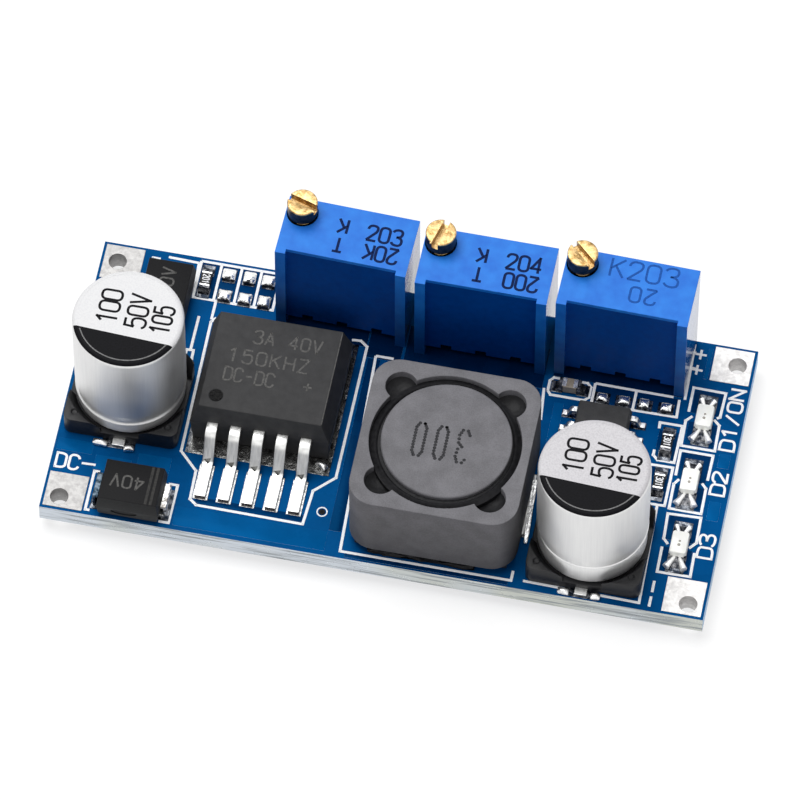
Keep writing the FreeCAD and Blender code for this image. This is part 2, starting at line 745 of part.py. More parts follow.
def make_lands():
    """Tinned lands that the parts stand on, and those that stayed empty."""
    lands = []

    def land(x, y, length, width):
        label = "land_" + str(len(lands) + 1)
        lands.append(centred_slab(label, x, y, board_top, length, width, s.land_thick))

    front = s.tab_land_front + s.regulator_depth / 2
    back = s.tab_land_back + s.tab_reach + s.regulator_depth / 2
    land(s.regulator_x, s.regulator_y + (back - front) / 2, s.tab_width + 2 * s.tab_land_side,
         back + front)
    tip = s.regulator_y - s.regulator_depth / 2 - s.lead_span
    for number in range(5):
        x = s.regulator_x + (number - 2) * s.lead_pitch
        land(x, tip + s.lead_land_length / 2 - s.land_thick, s.lead_land_width, s.lead_land_length)
    for name in ("input_capacitor", "output_capacitor"):
        x, y = getattr(s, name + "_x"), getattr(s, name + "_y")
        reach = s.base_size / 2 + s.cap_land_reach - s.cap_land_length / 2
        land(x, y - reach, s.cap_land_width, s.cap_land_length)
        land(x, y + reach, s.cap_land_width, s.cap_land_length)
    reach = s.shield_size / 2 + s.coil_land_reach - s.coil_clip_length / 2
    land(s.inductor_x - reach, s.inductor_y, s.coil_clip_length, s.coil_land_width)
    land(s.inductor_x + reach, s.inductor_y, s.coil_clip_length, s.coil_land_width)
    reach = s.diode_length / 2 + s.diode_lead_reach + s.diode_land_reach - s.diode_land_length / 2
    for sign in (-1, 1):
        land(s.catch_diode_x + sign * reach, s.catch_diode_y, s.diode_land_length, s.diode_land_width)
        land(s.input_diode_x, s.input_diode_y + sign * reach, s.diode_land_width, s.diode_land_length)
    reach = s.opamp_width / 2 + s.opamp_lead_span - s.opamp_land_length / 2 + s.land_thick
    for number in range(4):
        y = s.opamp_y + (number - 1.5) * s.opamp_pitch
        land(s.opamp_x - reach, y, s.opamp_land_length, s.opamp_land_width)
        land(s.opamp_x + reach, y, s.opamp_land_length, s.opamp_land_width)
    reach = s.led_length / 2 - s.led_cap + s.led_land_length / 2
    for number in (1, 2, 3):
        x, y = getattr(s, "led_" + str(number) + "_x"), getattr(s, "led_" + str(number) + "_y")
        land(x, y - reach, s.led_land_width, s.led_land_length)
        land(x, y + reach, s.led_land_width, s.led_land_length)
    reach = s.chip_length / 2 - s.chip_cap + s.chip_land_length / 2
    for number in (1, 2, 3):
        x = getattr(s, "resistor_" + str(number) + "_x")
        y = getattr(s, "resistor_" + str(number) + "_y")
        land(x, y - reach, s.chip_land_width, s.chip_land_length)
        land(x, y + reach, s.chip_land_width, s.chip_land_length)
    land(s.ceramic_x - reach, s.ceramic_y, s.chip_land_length, s.chip_land_width)
    land(s.ceramic_x + reach, s.ceramic_y, s.chip_land_length, s.chip_land_width)
    for number in range(3):
        x = s.spare_row_x + number * s.spare_row_pitch
        land(x, s.spare_row_y - s.spare_row_spacing / 2, s.spare_land_width, s.spare_land_length)
        land(x, s.spare_row_y + s.spare_row_spacing / 2, s.spare_land_width, s.spare_land_length)
    for number in range(4):
        x = s.spare_pair_x + (number - 1.5) * s.spare_pair_pitch
        land(x, s.spare_pair_y, s.spare_land_length, s.spare_land_width)
    group("tinned_lands", lands)


def make_regulator():
    """A moulded block over a copper tab, with five formed leads at the front."""
    wide, deep = s.regulator_width, s.regulator_depth
    body = new_body("regulator_body")
    foot = s.regulator_foot_draft
    block(body, (wide - 2 * foot, deep - 2 * foot), 0, (wide, deep), s.regulator_parting)
    small = (wide - 2 * s.regulator_draft_width, deep - 2 * s.regulator_draft_depth)
    block(body, (wide, deep), s.regulator_parting, small, s.regulator_height)
    tab_room = new_sketch(body, "XY_Plane")
    inner = s.tab_width / 2 - s.tab_step
    front = s.tab_front_wall - deep / 2
    rectangle(tab_room, -inner, inner, front, deep / 2)
    pocket(body, tab_room, s.tab_thick, turned=True)
    dimple = new_sketch(body, "XY_Plane", s.regulator_height)
    spot_x = s.regulator_dimple_inset - small[0] / 2
    spot_y = s.regulator_dimple_inset - small[1] / 2
    circle(dimple, spot_x, spot_y, s.regulator_dimple)
    pocket(body, dimple, s.regulator_dimple_depth)
    # One slot for each lead's root
    slots = new_sketch(body, "XZ_Plane", deep / 2 - s.lead_root)
    bottom = s.lead_height - s.lead_thick
    west = -2 * s.lead_pitch - s.lead_width / 2
    rectangle(slots, west, west + s.lead_width, bottom, s.lead_height)
    slot = pocket(body, slots, s.lead_root, turned=True)
    row_of(body, slot, slots, "H_Axis", s.lead_pitch, 5)
    place(body, s.regulator_x, s.regulator_y, seat)
    node(body)

    tab = new_body("regulator_tab")
    sketch = new_sketch(tab, "XY_Plane")
    back = deep / 2 + s.tab_reach
    half = s.tab_width / 2
    edge = deep / 2
    outline(sketch, [
        (-inner, front), (inner, front), (inner, edge), (half, edge),
        (half, back - s.tab_chamfer), (half - s.tab_chamfer, back),
        (s.tab_chamfer - half, back), (-half, back - s.tab_chamfer),
        (-half, edge), (-inner, edge),
    ])
    pad(tab, sketch, s.tab_thick)
    place(tab, s.regulator_x, s.regulator_y, seat)
    node(tab)

    for number in range(5):
        lead = new_body("regulator_lead_" + str(number + 1))
        sketch = new_sketch(lead, "XZ_Plane")
        gull_wing(sketch, s.lead_span, s.lead_height, s.lead_thick, s.lead_knee,
                  s.lead_bend, s.lead_slope, s.lead_root)
        pad(lead, sketch, s.lead_width, middle=True)
        x = s.regulator_x + (number - 2) * s.lead_pitch
        place(lead, x, s.regulator_y - deep / 2, seat, -90)
        node(lead)


def make_capacitor(name):
    """A rolled aluminium can on a black moulded base, with two flat terminals."""
    x, y = getattr(s, name + "_x"), getattr(s, name + "_y")
    can = new_body(name + "_can")
    sketch = new_sketch(can, "XY_Plane", s.base_floor)
    circle(sketch, 0, 0, s.can_diameter)
    pad(can, sketch, s.can_top - s.base_floor)
    top = s.can_top.value
    bottom = s.base_floor.value

    def at_level(level):
        return lambda edge: abs(edge.BoundBox.ZMin - level) < 1e-6 and edge.BoundBox.ZLength < 1e-6

    round_edges(can, "Fillet", s.can_edge, at_level(top))
    round_edges(can, "Fillet", s.can_foot, at_level(bottom))
    groove = new_sketch(can, "XZ_Plane")
    radius = s.can_groove_radius
    away = s.can_diameter / 2 + radius - s.can_groove_depth
    circle(groove, away, s.can_groove_height, 2 * radius)
    around(can, groove, "PartDesign::Groove")
    place(can, x, y, seat)
    node(can)

    base = new_body(name + "_base")
    half = s.base_size / 2
    cut = half - s.base_chamfer
    sketch = new_sketch(base, "XY_Plane")
    outline(sketch, [(-half, -half), (half, -half), (half, cut), (cut, half), (-cut, half), (-half, cut)])
    pad(base, sketch, s.base_post)
    well = new_sketch(base, "XY_Plane", s.base_post)
    circle(well, 0, 0, s.can_diameter + 2 * s.can_gap)
    pocket(base, well, s.base_post - s.base_floor)
    notches = new_sketch(base, "XY_Plane", s.base_post)
    gap = half - s.base_post_length
    outline(notches, [(-gap, -half), (gap, -half), (gap, half), (-gap, half)])
    pocket(base, notches, s.base_post - s.base_floor)
    notches = new_sketch(base, "XY_Plane", s.base_post)
    outline(notches, [(-half, -gap), (half, -gap), (half, gap), (-half, gap)])
    pocket(base, notches, s.base_post - s.base_floor)
    channels = new_sketch(base, "XY_Plane")
    side = s.cap_lead_width / 2 + s.cap_lead_gap
    inside = half + s.cap_lead_reach - s.cap_lead_length - s.cap_lead_gap
    rectangle(channels, -side, side, -half, -inside)
    rectangle(channels, -side, side, inside, half)
    pocket(base, channels, s.cap_lead_thick, turned=True)
    place(base, x, y, seat)
    node(base)

    leads = []
    for word, sign in (("front", -1), ("back", 1)):
        middle = half + s.cap_lead_reach - s.cap_lead_length / 2
        leads.append(centred_slab(name + "_" + word + "_lead", x, y + sign * middle, seat,
                                  s.cap_lead_width, s.cap_lead_length, s.cap_lead_thick))
    group(name + "_terminals", leads)


def make_inductor():
    """A drum core with its coil, glued inside a square ferrite shield on a thin base."""

    def stand(body):
        place(body, s.inductor_x, s.inductor_y, seat)
        node(body)

    lobe = s.shield_bore / 2 - s.lobe_inset
    shield = new_body("inductor_shield")
    sketch = new_sketch(shield, "XY_Plane", s.shield_foot)
    centred(sketch, s.shield_size, s.shield_size)
    pad(shield, sketch, s.shield_top - s.shield_foot)
    round_edges(shield, "Fillet", s.shield_corner, upright)
    bore = new_sketch(shield, "XY_Plane", s.shield_top)
    circle(bore, 0, 0, s.shield_bore)
    pocket(shield, bore, s.shield_top - s.shield_foot)
    for x, y in ((lobe, lobe), (-lobe, lobe), (-lobe, -lobe), (lobe, -lobe)):
        bore = new_sketch(shield, "XY_Plane", s.shield_top)
        circle(bore, x, y, s.lobe_diameter)
        pocket(shield, bore, s.shield_top - s.shield_foot)
    stand(shield)

    core = new_body("inductor_core")
    sketch = new_sketch(core, "XZ_Plane")
    rim, post = s.drum_diameter / 2, s.drum_post / 2
    low = s.shield_foot
    outline(sketch, [
        (0, low), (rim, low), (rim, low + s.drum_flange), (post, low + s.drum_flange),
        (post, s.drum_top - s.drum_flange), (rim, s.drum_top - s.drum_flange),
        (rim, s.drum_top), (0, s.drum_top),
    ])
    around(core, sketch)
    stand(core)

    coil = new_body("inductor_winding")
    sketch = new_sketch(coil, "XZ_Plane")
    rectangle(sketch, post, rim - s.coil_inset, low + s.drum_flange, s.drum_top - s.drum_flange)
    around(coil, sketch)
    stand(coil)

    glue = new_body("inductor_glue")
    sketch = new_sketch(glue, "XY_Plane", s.glue_top - s.glue_depth)
    circle(sketch, 0, 0, s.shield_bore)
    pad(glue, sketch, s.glue_depth)
    for x, y in ((lobe, lobe), (-lobe, lobe), (-lobe, -lobe), (lobe, -lobe)):
        sketch = new_sketch(glue, "XY_Plane", s.glue_top - s.glue_depth)
        circle(sketch, x, y, s.lobe_diameter)
        pad(glue, sketch, s.glue_depth)
    middle = new_sketch(glue, "XY_Plane", s.glue_top)
    circle(middle, 0, 0, s.drum_diameter)
    pocket(glue, middle, s.glue_depth)
    stand(glue)

    plate = new_body("inductor_base")
    sketch = new_sketch(plate, "XY_Plane", s.coil_clip_thick)
    side = s.shield_size - 2 * s.coil_base_inset
    centred(sketch, side, side)
    pad(plate, sketch, s.shield_foot - s.coil_clip_thick)
    stand(plate)

    clips = []
    edge = s.shield_size / 2 + s.coil_clip_reach
    for word, sign in (("left", -1), ("right", 1)):
        x = s.inductor_x + sign * (edge - s.coil_clip_length / 2)
        clips.append(centred_slab("inductor_" + word + "_clip", x, s.inductor_y, seat,
                                  s.coil_clip_length, s.coil_clip_width, s.coil_clip_thick))
    group("inductor_terminals", clips)


def make_diode(name, turn):
    """A moulded block with a flat lead folded under each end."""
    x, y = getattr(s, name + "_x"), getattr(s, name + "_y")
    long, wide = s.diode_length, s.diode_width
    small = (long - 2 * s.diode_draft, wide - 2 * s.diode_draft)
    body = new_body(name + "_body")
    block(body, small, s.diode_foot, (long, wide), s.diode_parting)
    block(body, (long, wide), s.diode_parting, small, s.diode_height)
    place(body, x, y, seat, turn)
    node(body)

    leads = new_body(name + "_terminals")
    sketch = new_sketch(leads, "XZ_Plane")
    thick = s.diode_lead_thick
    wall, tip = long / 2, long / 2 + s.diode_lead_reach
    upper, lower = s.diode_parting + thick / 2, s.diode_parting - thick / 2
    toe = long / 2 - s.diode_lead_inward
    for sign in (1, -1):
        outline(sketch, [
            (sign * wall, upper), (sign * tip, upper), (sign * tip, 0), (sign * toe, 0),
            (sign * toe, thick), (sign * (tip - thick), thick),
            (sign * (tip - thick), lower), (sign * wall, lower),
        ])
    pad(leads, sketch, s.diode_lead_width, middle=True)
    place(leads, x, y, seat, turn)
    node(leads)


def make_trimmer(name, screw_turn):
    """A moulded housing with a potted front, three pins and an adjusting screw at one end."""
    x, y, turn = trimmer_spot(name)
    long, deep, top = s.trimmer_length, s.trimmer_depth, s.trimmer_top
    post = s.trimmer_foot
    screw_x, screw_y = s.screw_inset, deep - s.screw_inset

    housing = new_body(name + "_housing")
    sketch = new_sketch(housing, "XY_Plane", s.trimmer_standoff)
    recess = s.trimmer_recess
    outline(sketch, [
        (0, 0), (post, 0), (post, recess), (long - post, recess),
        (long - post, 0), (long, 0), (long, deep), (0, deep),
    ])
    pad(housing, sketch, top - s.trimmer_standoff)
    feet = new_sketch(housing, "XY_Plane")
    for west in (0, long - post):
        rectangle(feet, west, west + post, 0, post)
        rectangle(feet, west, west + post, deep - post, deep)
    pad(housing, feet, s.trimmer_standoff)
    window = new_sketch(housing, "XZ_Plane", -recess)
    margin = s.potting_margin
    rectangle(window, post, long - post, s.trimmer_standoff, top - margin)
    pocket(housing, window, s.potting_depth)
    seats = new_sketch(housing, "XY_Plane", s.trimmer_standoff)
    for pin in range(len(PINS)):
        circle(seats, first_pin + pin * s.pin_pitch, pin_line, s.pin_diameter)
    pocket(housing, seats, s.pin_root, turned=True)
    wide_bore = new_sketch(housing, "XY_Plane", top)
    circle(wide_bore, screw_x, screw_y, s.screw_head + 2 * s.screw_gap)
    collar_depth = s.screw_land + s.screw_neck_length + s.screw_collar + s.screw_gap
    pocket(housing, wide_bore, collar_depth)
    slim_bore = new_sketch(housing, "XY_Plane", top)
    circle(slim_bore, screw_x, screw_y, s.screw_shank + 2 * s.screw_gap)
    pocket(housing, slim_bore, s.screw_length + s.screw_gap)
    place(housing, x, y, board_top, turn)
    node(housing)

    potting = new_body(name + "_potting")
    sketch = new_sketch(potting, "XZ_Plane", -recess - s.potting_sink)
    rectangle(sketch, post, long - post, s.trimmer_standoff, top - margin)
    pad(potting, sketch, s.potting_depth - s.potting_sink).Reversed = True
    marks = new_sketch(potting, "XZ_Plane", -recess)
    half = s.pin_mark_width / 2
    for pin in range(len(PINS)):
        middle = first_pin + pin * s.pin_pitch
        low = s.trimmer_standoff
        rectangle(marks, middle - half, middle + half, low, low + s.pin_mark_height)
    doc.recompute()
    pocket(potting, marks, s.pin_mark_depth)
    place(potting, x, y, board_top, turn)
    node(potting)

    pins = new_body(name + "_pins")
    sketch = new_sketch(pins, "XY_Plane", -board_top)
    for pin in range(len(PINS)):
        circle(sketch, first_pin + pin * s.pin_pitch, pin_line, s.pin_diameter)
    pad(pins, sketch, board_top + s.trimmer_standoff + s.pin_root)
    place(pins, x, y, board_top, turn)
    node(pins)

    # The screw and its seal share one axis, which the housing's turn carries round.
    cosine = Size("cos(" + turn.text + " * 1 deg)", math.cos(math.radians(turn.value)))
    sine = Size("sin(" + turn.text + " * 1 deg)", math.sin(math.radians(turn.value)))
    axis_x = x + screw_x * cosine - screw_y * sine
    axis_y = y + screw_x * sine + screw_y * cosine
    slot_turn = turn + screw_turn
    head, neck, shank = s.screw_head / 2, s.screw_neck / 2, s.screw_shank / 2
    step_1 = -s.screw_land
    step_2 = step_1 - s.screw_neck_length
    step_3 = step_2 - s.screw_collar
    screw = new_body(name + "_screw")
    sketch = new_sketch(screw, "XZ_Plane")
    outline(sketch, [
        (0, -s.screw_length), (shank, -s.screw_length), (shank, step_3), (head, step_3),
        (head, step_2), (neck, step_2), (neck, step_1), (head, step_1),
        (head, s.screw_proud - s.screw_edge), (head - s.screw_edge, s.screw_proud),
        (0, s.screw_proud),
    ])
    around(screw, sketch)
    slot = new_sketch(screw, "XY_Plane", s.screw_proud)
    centred(slot, s.screw_head + s.screw_edge, s.screw_slot_width)
    pocket(screw, slot, s.screw_slot_depth)
    place(screw, axis_x, axis_y, board_top + top, slot_turn)
    node(screw)

    seal = new_body(name + "_seal")
    sketch = new_sketch(seal, "XZ_Plane")
    thickness = head - neck
    circle(sketch, neck + thickness / 2, step_1 - s.screw_neck_length / 2, thickness)
    around(seal, sketch)
    place(seal, axis_x, axis_y, board_top + top)
    node(seal)


def make_trimmer_joints():
    """Solder that fills each pin's hole and stands as a cone round its tail."""
    joints = []
    for name in TRIMMERS:
        x, y, turn = trimmer_spot(name)
        joint = new_body(name + "_joints")
        sketch = new_sketch(joint, "XZ_Plane", -pin_line, (first_pin, 0, as_size(0)))
        pin, hole = s.pin_diameter / 2, s.pin_hole / 2
        outline(sketch, [
            (pin, -s.joint_height), (s.joint_tip / 2, -s.joint_height), (s.joint_diameter / 2, 0),
            (hole, 0), (hole, s.board_thick), (pin, s.board_thick),
        ])
        turned = around(joint, sketch)
        row_of(joint, turned, sketch, "H_Axis", s.pin_pitch, len(PINS))
        place(joint, x, y, s.pin_tail, turn)
        joints.append(joint)
    group("trimmer_joints", joints)


def make_opamp():
    """A small eight-pin package with four formed leads a side."""
    wide, long = s.opamp_width, s.opamp_length
    small = (wide - 2 * s.opamp_draft, long - 2 * s.opamp_draft)
    body = new_body("opamp_body")
    block(body, small, s.opamp_foot, (wide, long), s.opamp_parting)
    block(body, (wide, long), s.opamp_parting, small, s.opamp_height)
    place(body, s.opamp_x, s.opamp_y, seat)
    node(body)
    sides = []
    for word, sign, turn in (("right", 1, 0), ("left", -1, 180)):
        side = new_body("opamp_" + word + "_leads")
        sketch = new_sketch(side, "XZ_Plane", 1.5 * s.opamp_pitch)
        gull_wing(sketch, s.opamp_lead_span, s.opamp_lead_height, s.opamp_lead_thick,
                  s.opamp_lead_knee, s.opamp_lead_bend, s.opamp_lead_slope, as_size(0) * 1)
        lead = pad(side, sketch, s.opamp_lead_width, middle=True)
        pattern = row_of(side, lead, sketch, "N_Axis", s.opamp_pitch, 4)
        pattern.Reversed = True
        doc.recompute()
        place(side, s.opamp_x + sign * wide / 2, s.opamp_y, seat, turn)
        sides.append(side)
    group("opamp_leads", sides)


def make_led(number):
    """An indicator lamp: a white base, a clear lens and a plated cap at each end."""
    name = "led_" + str(number)
    x, y = getattr(s, name + "_x"), getattr(s, name + "_y")
    body_length = s.led_length - 2 * s.led_cap
    base = centred_slab(name + "_base", x, y, seat, s.led_width, body_length, s.led_base)
    node(base)
    lens = new_body(name + "_lens")
    block(lens, (s.led_width, s.led_lens_length), s.led_base,
          (s.led_lens_top_width, s.led_lens_top_length), s.led_base + s.led_lens_height)
    place(lens, x, y, seat)
    node(lens)
    caps = []
    for word, sign in (("front", -1), ("back", 1)):
        middle = y + sign * (s.led_length - s.led_cap) / 2
        caps.append(centred_slab(name + "_" + word + "_cap", x, middle, seat,
                                 s.led_width, s.led_cap, s.led_base))
    group(name + "_terminals", caps)


def make_chips():
    """Three chip resistors along Y and a ceramic capacitor along X."""
    caps = []
    bodies = []
    body_length = s.chip_length - 2 * s.chip_cap
    for number in (1, 2, 3):
        name = "resistor_" + str(number)
        x, y = getattr(s, name + "_x"), getattr(s, name + "_y")
        bodies.append(centred_slab(name + "_body", x, y, seat, s.chip_width, body_length,
                                   s.resistor_height))
        for word, sign in (("front", -1), ("back", 1)):
            middle = y + sign * (s.chip_length - s.chip_cap) / 2
            caps.append(centred_slab(name + "_" + word + "_cap", x, middle, seat,
                                     s.chip_width, s.chip_cap, s.resistor_height))
    group("chip_resistors", bodies)
    for word, sign in (("left", -1), ("right", 1)):
        middle = s.ceramic_x + sign * (s.chip_length - s.chip_cap) / 2
        caps.append(centred_slab("ceramic_" + word + "_cap", middle, s.ceramic_y, seat,
                                 s.chip_cap, s.chip_width, s.ceramic_height))
    group("chip_end_caps", caps)
    node(centred_slab("chip_capacitor", s.ceramic_x, s.ceramic_y, seat,
                      body_length, s.chip_width, s.ceramic_height))


def make_solder_fillets():
    """Sloping solder at the ends of the lamps and chips."""
    fillets = []

    def fillet(x, y, turn, width, length, height):
        """A wedge whose tall side stands against the part and whose slope runs away from it."""
        label = "fillet_" + str(len(fillets) + 1)
        body = new_body(label)
        sketch = new_sketch(body, "XZ_Plane")
        outline(sketch, [(0, 0), (length, 0), (0, height)])
        pad(body, sketch, width, middle=True)
        place(body, x, y, seat, turn)
        fillets.append(body)

    for number in (1, 2, 3):
        name = "led_" + str(number)
        x, y = getattr(s, name + "_x"), getattr(s, name + "_y")
        for sign, turn in ((-1, -90), (1, 90)):
            fillet(x, y + sign * s.led_length / 2, turn, s.led_width, s.led_fillet_length, s.led_base)
    size = (s.chip_width, s.chip_fillet_length, s.chip_fillet_height)
    for number in (1, 2, 3):
        name = "resistor_" + str(number)
        x, y = getattr(s, name + "_x"), getattr(s, name + "_y")
        for sign, turn in ((-1, -90), (1, 90)):
            fillet(x, y + sign * s.chip_length / 2, turn, *size)
    for sign, turn in ((-1, 180), (1, 0)):
        fillet(s.ceramic_x + sign * s.chip_length / 2, s.ceramic_y, turn, *size)
    group("solder_fillets", fillets)


make_board()
make_terminal_pads()
make_lands()
make_regulator()
make_capacitor("input_capacitor")
make_capacitor("output_capacitor")
make_inductor()
make_diode("catch_diode", 0)
make_diode("input_diode", 90)
for trimmer, slot in zip(TRIMMERS, (s.screw_1_turn, s.screw_2_turn, s.screw_3_turn)):
    make_trimmer(trimmer, slot)
make_trimmer_joints()
make_opamp()
for lamp in (1, 2, 3):
    make_led(lamp)
make_chips()
make_solder_fillets()
doc.recompute()

# Every object has to be sound before any file is written.
for thing in doc.Objects:
    if "Invalid" in thing.State or "Error" in thing.State:
        raise ValueError(thing.Label + " failed: " + str(thing.State))
for piece in nodes:
    if piece.Shape.isNull() or not piece.Shape.isValid() or not piece.Shape.Solids:
        raise ValueError(piece.Label + " has no sound solid")
for piece in nodes:
    piece.Shape.exportStep("parts/" + piece.Label + ".step")
print(len(nodes), "pieces written")
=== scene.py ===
import json
import math

import bmesh
import bpy
from mathutils import Matrix, Vector


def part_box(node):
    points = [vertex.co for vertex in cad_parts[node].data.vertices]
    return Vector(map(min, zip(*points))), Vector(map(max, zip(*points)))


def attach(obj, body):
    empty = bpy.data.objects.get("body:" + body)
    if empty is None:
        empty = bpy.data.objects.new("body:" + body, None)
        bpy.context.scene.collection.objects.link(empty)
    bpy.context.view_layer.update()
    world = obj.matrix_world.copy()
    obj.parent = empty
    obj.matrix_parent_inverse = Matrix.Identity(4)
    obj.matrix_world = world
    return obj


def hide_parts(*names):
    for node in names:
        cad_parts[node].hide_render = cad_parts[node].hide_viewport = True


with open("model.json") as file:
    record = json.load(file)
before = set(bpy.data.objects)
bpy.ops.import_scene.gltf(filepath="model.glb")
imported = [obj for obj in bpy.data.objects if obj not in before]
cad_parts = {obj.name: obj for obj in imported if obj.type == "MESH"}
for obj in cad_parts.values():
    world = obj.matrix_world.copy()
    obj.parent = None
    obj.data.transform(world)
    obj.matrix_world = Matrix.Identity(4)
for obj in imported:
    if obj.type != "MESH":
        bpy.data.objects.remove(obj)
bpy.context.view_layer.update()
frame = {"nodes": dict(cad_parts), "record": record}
nodes = frame["nodes"]

MM = 0.001
SIDES = (-1, 1)
CORNERS = [(across, along) for across in SIDES for along in SIDES]
NUMBERS = (1, 2, 3)


def mm(*values):
    """Millimetres as Blender's metres."""
    return [value * MM for value in values]


def corners(node):
    """The lowest and the highest corner of a node's box, in millimetres."""
    return [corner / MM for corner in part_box(node)]


def top_of(node):
    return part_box(node)[1].z / MM


BOARD_TOP = top_of("board")


# Finishes

WAVE_SCALE = 0.314  # a wave texture's scale for bands one unit apart


def feed(socket, value):
    """Gives a socket a plain value, a colour of three parts or another node's output."""
    if isinstance(value, bpy.types.NodeSocket):
        socket.id_data.links.new(value, socket)
    elif socket.type == "RGBA":
        socket.default_value = (*value, 1)
    else:
        socket.default_value = value


def add_node(tree, kind, inputs=(), **settings):
    """A new node with its settings, and its inputs as pairs of a name or number and a value."""
    node = tree.nodes.new("ShaderNode" + kind)
    for setting, value in settings.items():
        setattr(node, setting, value)
    for socket, value in dict(inputs).items():
        feed(node.inputs[socket], value)
    return node


class Finish:
    """A procedural finish. Its patterns are measured in millimetres on the piece."""

    def __init__(self, name, colour, roughness, metallic=0.0, **settings):
        self.material = bpy.data.materials.new(name)
        self.material.use_nodes = True
        self.tree = self.material.node_tree
        self.shader = self.tree.nodes["Principled BSDF"]
        settings = {"Base_Color": colour, "Roughness": roughness, "Metallic": metallic, **settings}
        for socket, value in settings.items():
            self.give(socket.replace("_", " "), value)
        self.place = add_node(self.tree, "TexCoord").outputs["Object"]

    def give(self, socket, value):
        feed(self.shader.inputs[socket], value)

    def scaled(self, stretch=(1, 1, 1)):
        """The place on the piece in millimetres, squeezed or drawn out along its axes."""
        scale = [part / MM for part in stretch]
        return add_node(self.tree, "Mapping", {"Vector": self.place, "Scale": scale}).outputs["Vector"]

    def noise(self, size, detail=3.0, stretch=(1, 1, 1), distortion=0.0):
        """Soft cloudy pattern whose patches are about size millimetres wide."""
        place = self.scaled(stretch)
        inputs = {"Vector": place, "Scale": 1 / size, "Detail": detail, "Distortion": distortion}
        return add_node(self.tree, "TexNoise", inputs).outputs["Fac"]

    def bands(self, size, direction, distortion):
        """Parallel bands size millimetres apart."""
        inputs = {"Vector": self.scaled(), "Scale": WAVE_SCALE / size, "Distortion": distortion}
        return add_node(self.tree, "TexWave", inputs, bands_direction=direction).outputs["Fac"]

    def levels(self, pattern, low, high, start=0.0, end=1.0):
        """Maps a pattern between low and high to a value between start and end."""
        inputs = {"Value": pattern, "From Min": low, "From Max": high, "To Min": start, "To Max": end}
        return add_node(self.tree, "MapRange", inputs).outputs["Result"]

    def sums(self, operation, first, second=0.0):
        return add_node(self.tree, "Math", {0: first, 1: second}, operation=operation).outputs["Value"]

    def mixed(self, first, second, share):
        """Two patterns as one, with this share of the first."""
        return self.sums("ADD", self.sums("MULTIPLY", first, share), self.sums("MULTIPLY", second, 1 - share))

    def blend(self, amount, first, second, kind="MIX"):
        inputs = {"Factor": amount, 6: first, 7: second}
        return add_node(self.tree, "Mix", inputs, data_type="RGBA", blend_type=kind).outputs[2]

    def mottle(self, pattern, low, high, first, second):
        """Runs from one colour to the other where the pattern is between low and high."""
        return self.blend(self.levels(pattern, low, high), first, second)

    def tint(self, colour):
        self.give("Base Color", colour)

    def gloss(self, pattern, start, end, low=0.3, high=0.7):
        self.give("Roughness", self.levels(pattern, low, high, start, end))

    def relief(self, *layers):
        """Bumps, each layer a pattern and its depth in millimetres, one on top of another."""
        below = {}
        for pattern, depth in layers:
            bump = add_node(self.tree, "Bump", {"Height": pattern, "Distance": depth * MM, **below})
            below = {"Normal": bump.outputs["Normal"]}
        self.give("Normal", bump.outputs["Normal"])

    def facing(self, axis):
        """The piece's own normal along an axis, from -1 to 1."""
        normal = add_node(self.tree, "NewGeometry").outputs["Normal"]
        own = add_node(self.tree, "VectorTransform", {"Vector": normal}, vector_type="NORMAL",
                       convert_from="WORLD", convert_to="OBJECT")
        return add_node(self.tree, "SeparateXYZ", {"Vector": own.outputs["Vector"]}).outputs[axis]

    def along(self, axis):
        """The place along an axis, in millimetres."""
        return add_node(self.tree, "SeparateXYZ", {"Vector": self.scaled()}).outputs[axis]

    def shade(self, amount, darkest):
        """Darkens the colour set so far, fully where amount is 0."""
        colour = self.shader.inputs["Base Color"].links[0].from_socket
        self.tint(self.blend(1, colour, self.levels(amount, 0, 1, darkest, 1), "MULTIPLY"))


def metal(name, dark, bright, roughness, patch, depth, stretch=(1, 1, 1), spread=(0.35, 0.65)):
    """Plated or cast metal: mottled colour and gloss, and a shallow uneven surface."""
    finish = Finish(name, bright, roughness, 1.0)
    cloud = finish.noise(patch, 4.0, stretch, 0.4)
    fine = finish.noise(patch / 6, 2.0, stretch)
    finish.tint(finish.mottle(cloud, *spread, dark, bright))
    finish.gloss(fine, roughness * 0.75, roughness * 1.25)
    finish.relief((cloud, depth), (fine, depth * 0.4))
    return finish.material


def moulded(name, dark, light, roughness, grain, depth, specular=0.5):
    """Moulded or pressed material: fine grain, faint clouds and a matt skin."""
    finish = Finish(name, dark, roughness, Specular_IOR_Level=specular)
    cloud, fine = finish.noise(grain * 14), finish.noise(grain)
    finish.tint(finish.mottle(finish.mixed(cloud, fine, 0.45), 0.36, 0.64, dark, light))
    finish.gloss(fine, roughness * 0.9, roughness * 1.1)
    finish.relief((fine, depth))
    return finish.material


def ink(name, dark, light, roughness, specular=0.4, painted_glow=0.0):
    """Printed ink: slightly uneven cover and a dull broken surface, with an optional glow that is painted
    light.
    """
    finish = Finish(name, light, roughness, Specular_IOR_Level=specular, Emission_Strength=painted_glow)
    cover = finish.noise(0.12)
    finish.tint(finish.mottle(cover, 0.32, 0.6, dark, light))
    finish.gloss(cover, roughness * 0.85, roughness * 1.1)
    finish.relief((cover, 0.006))
    return finish.material


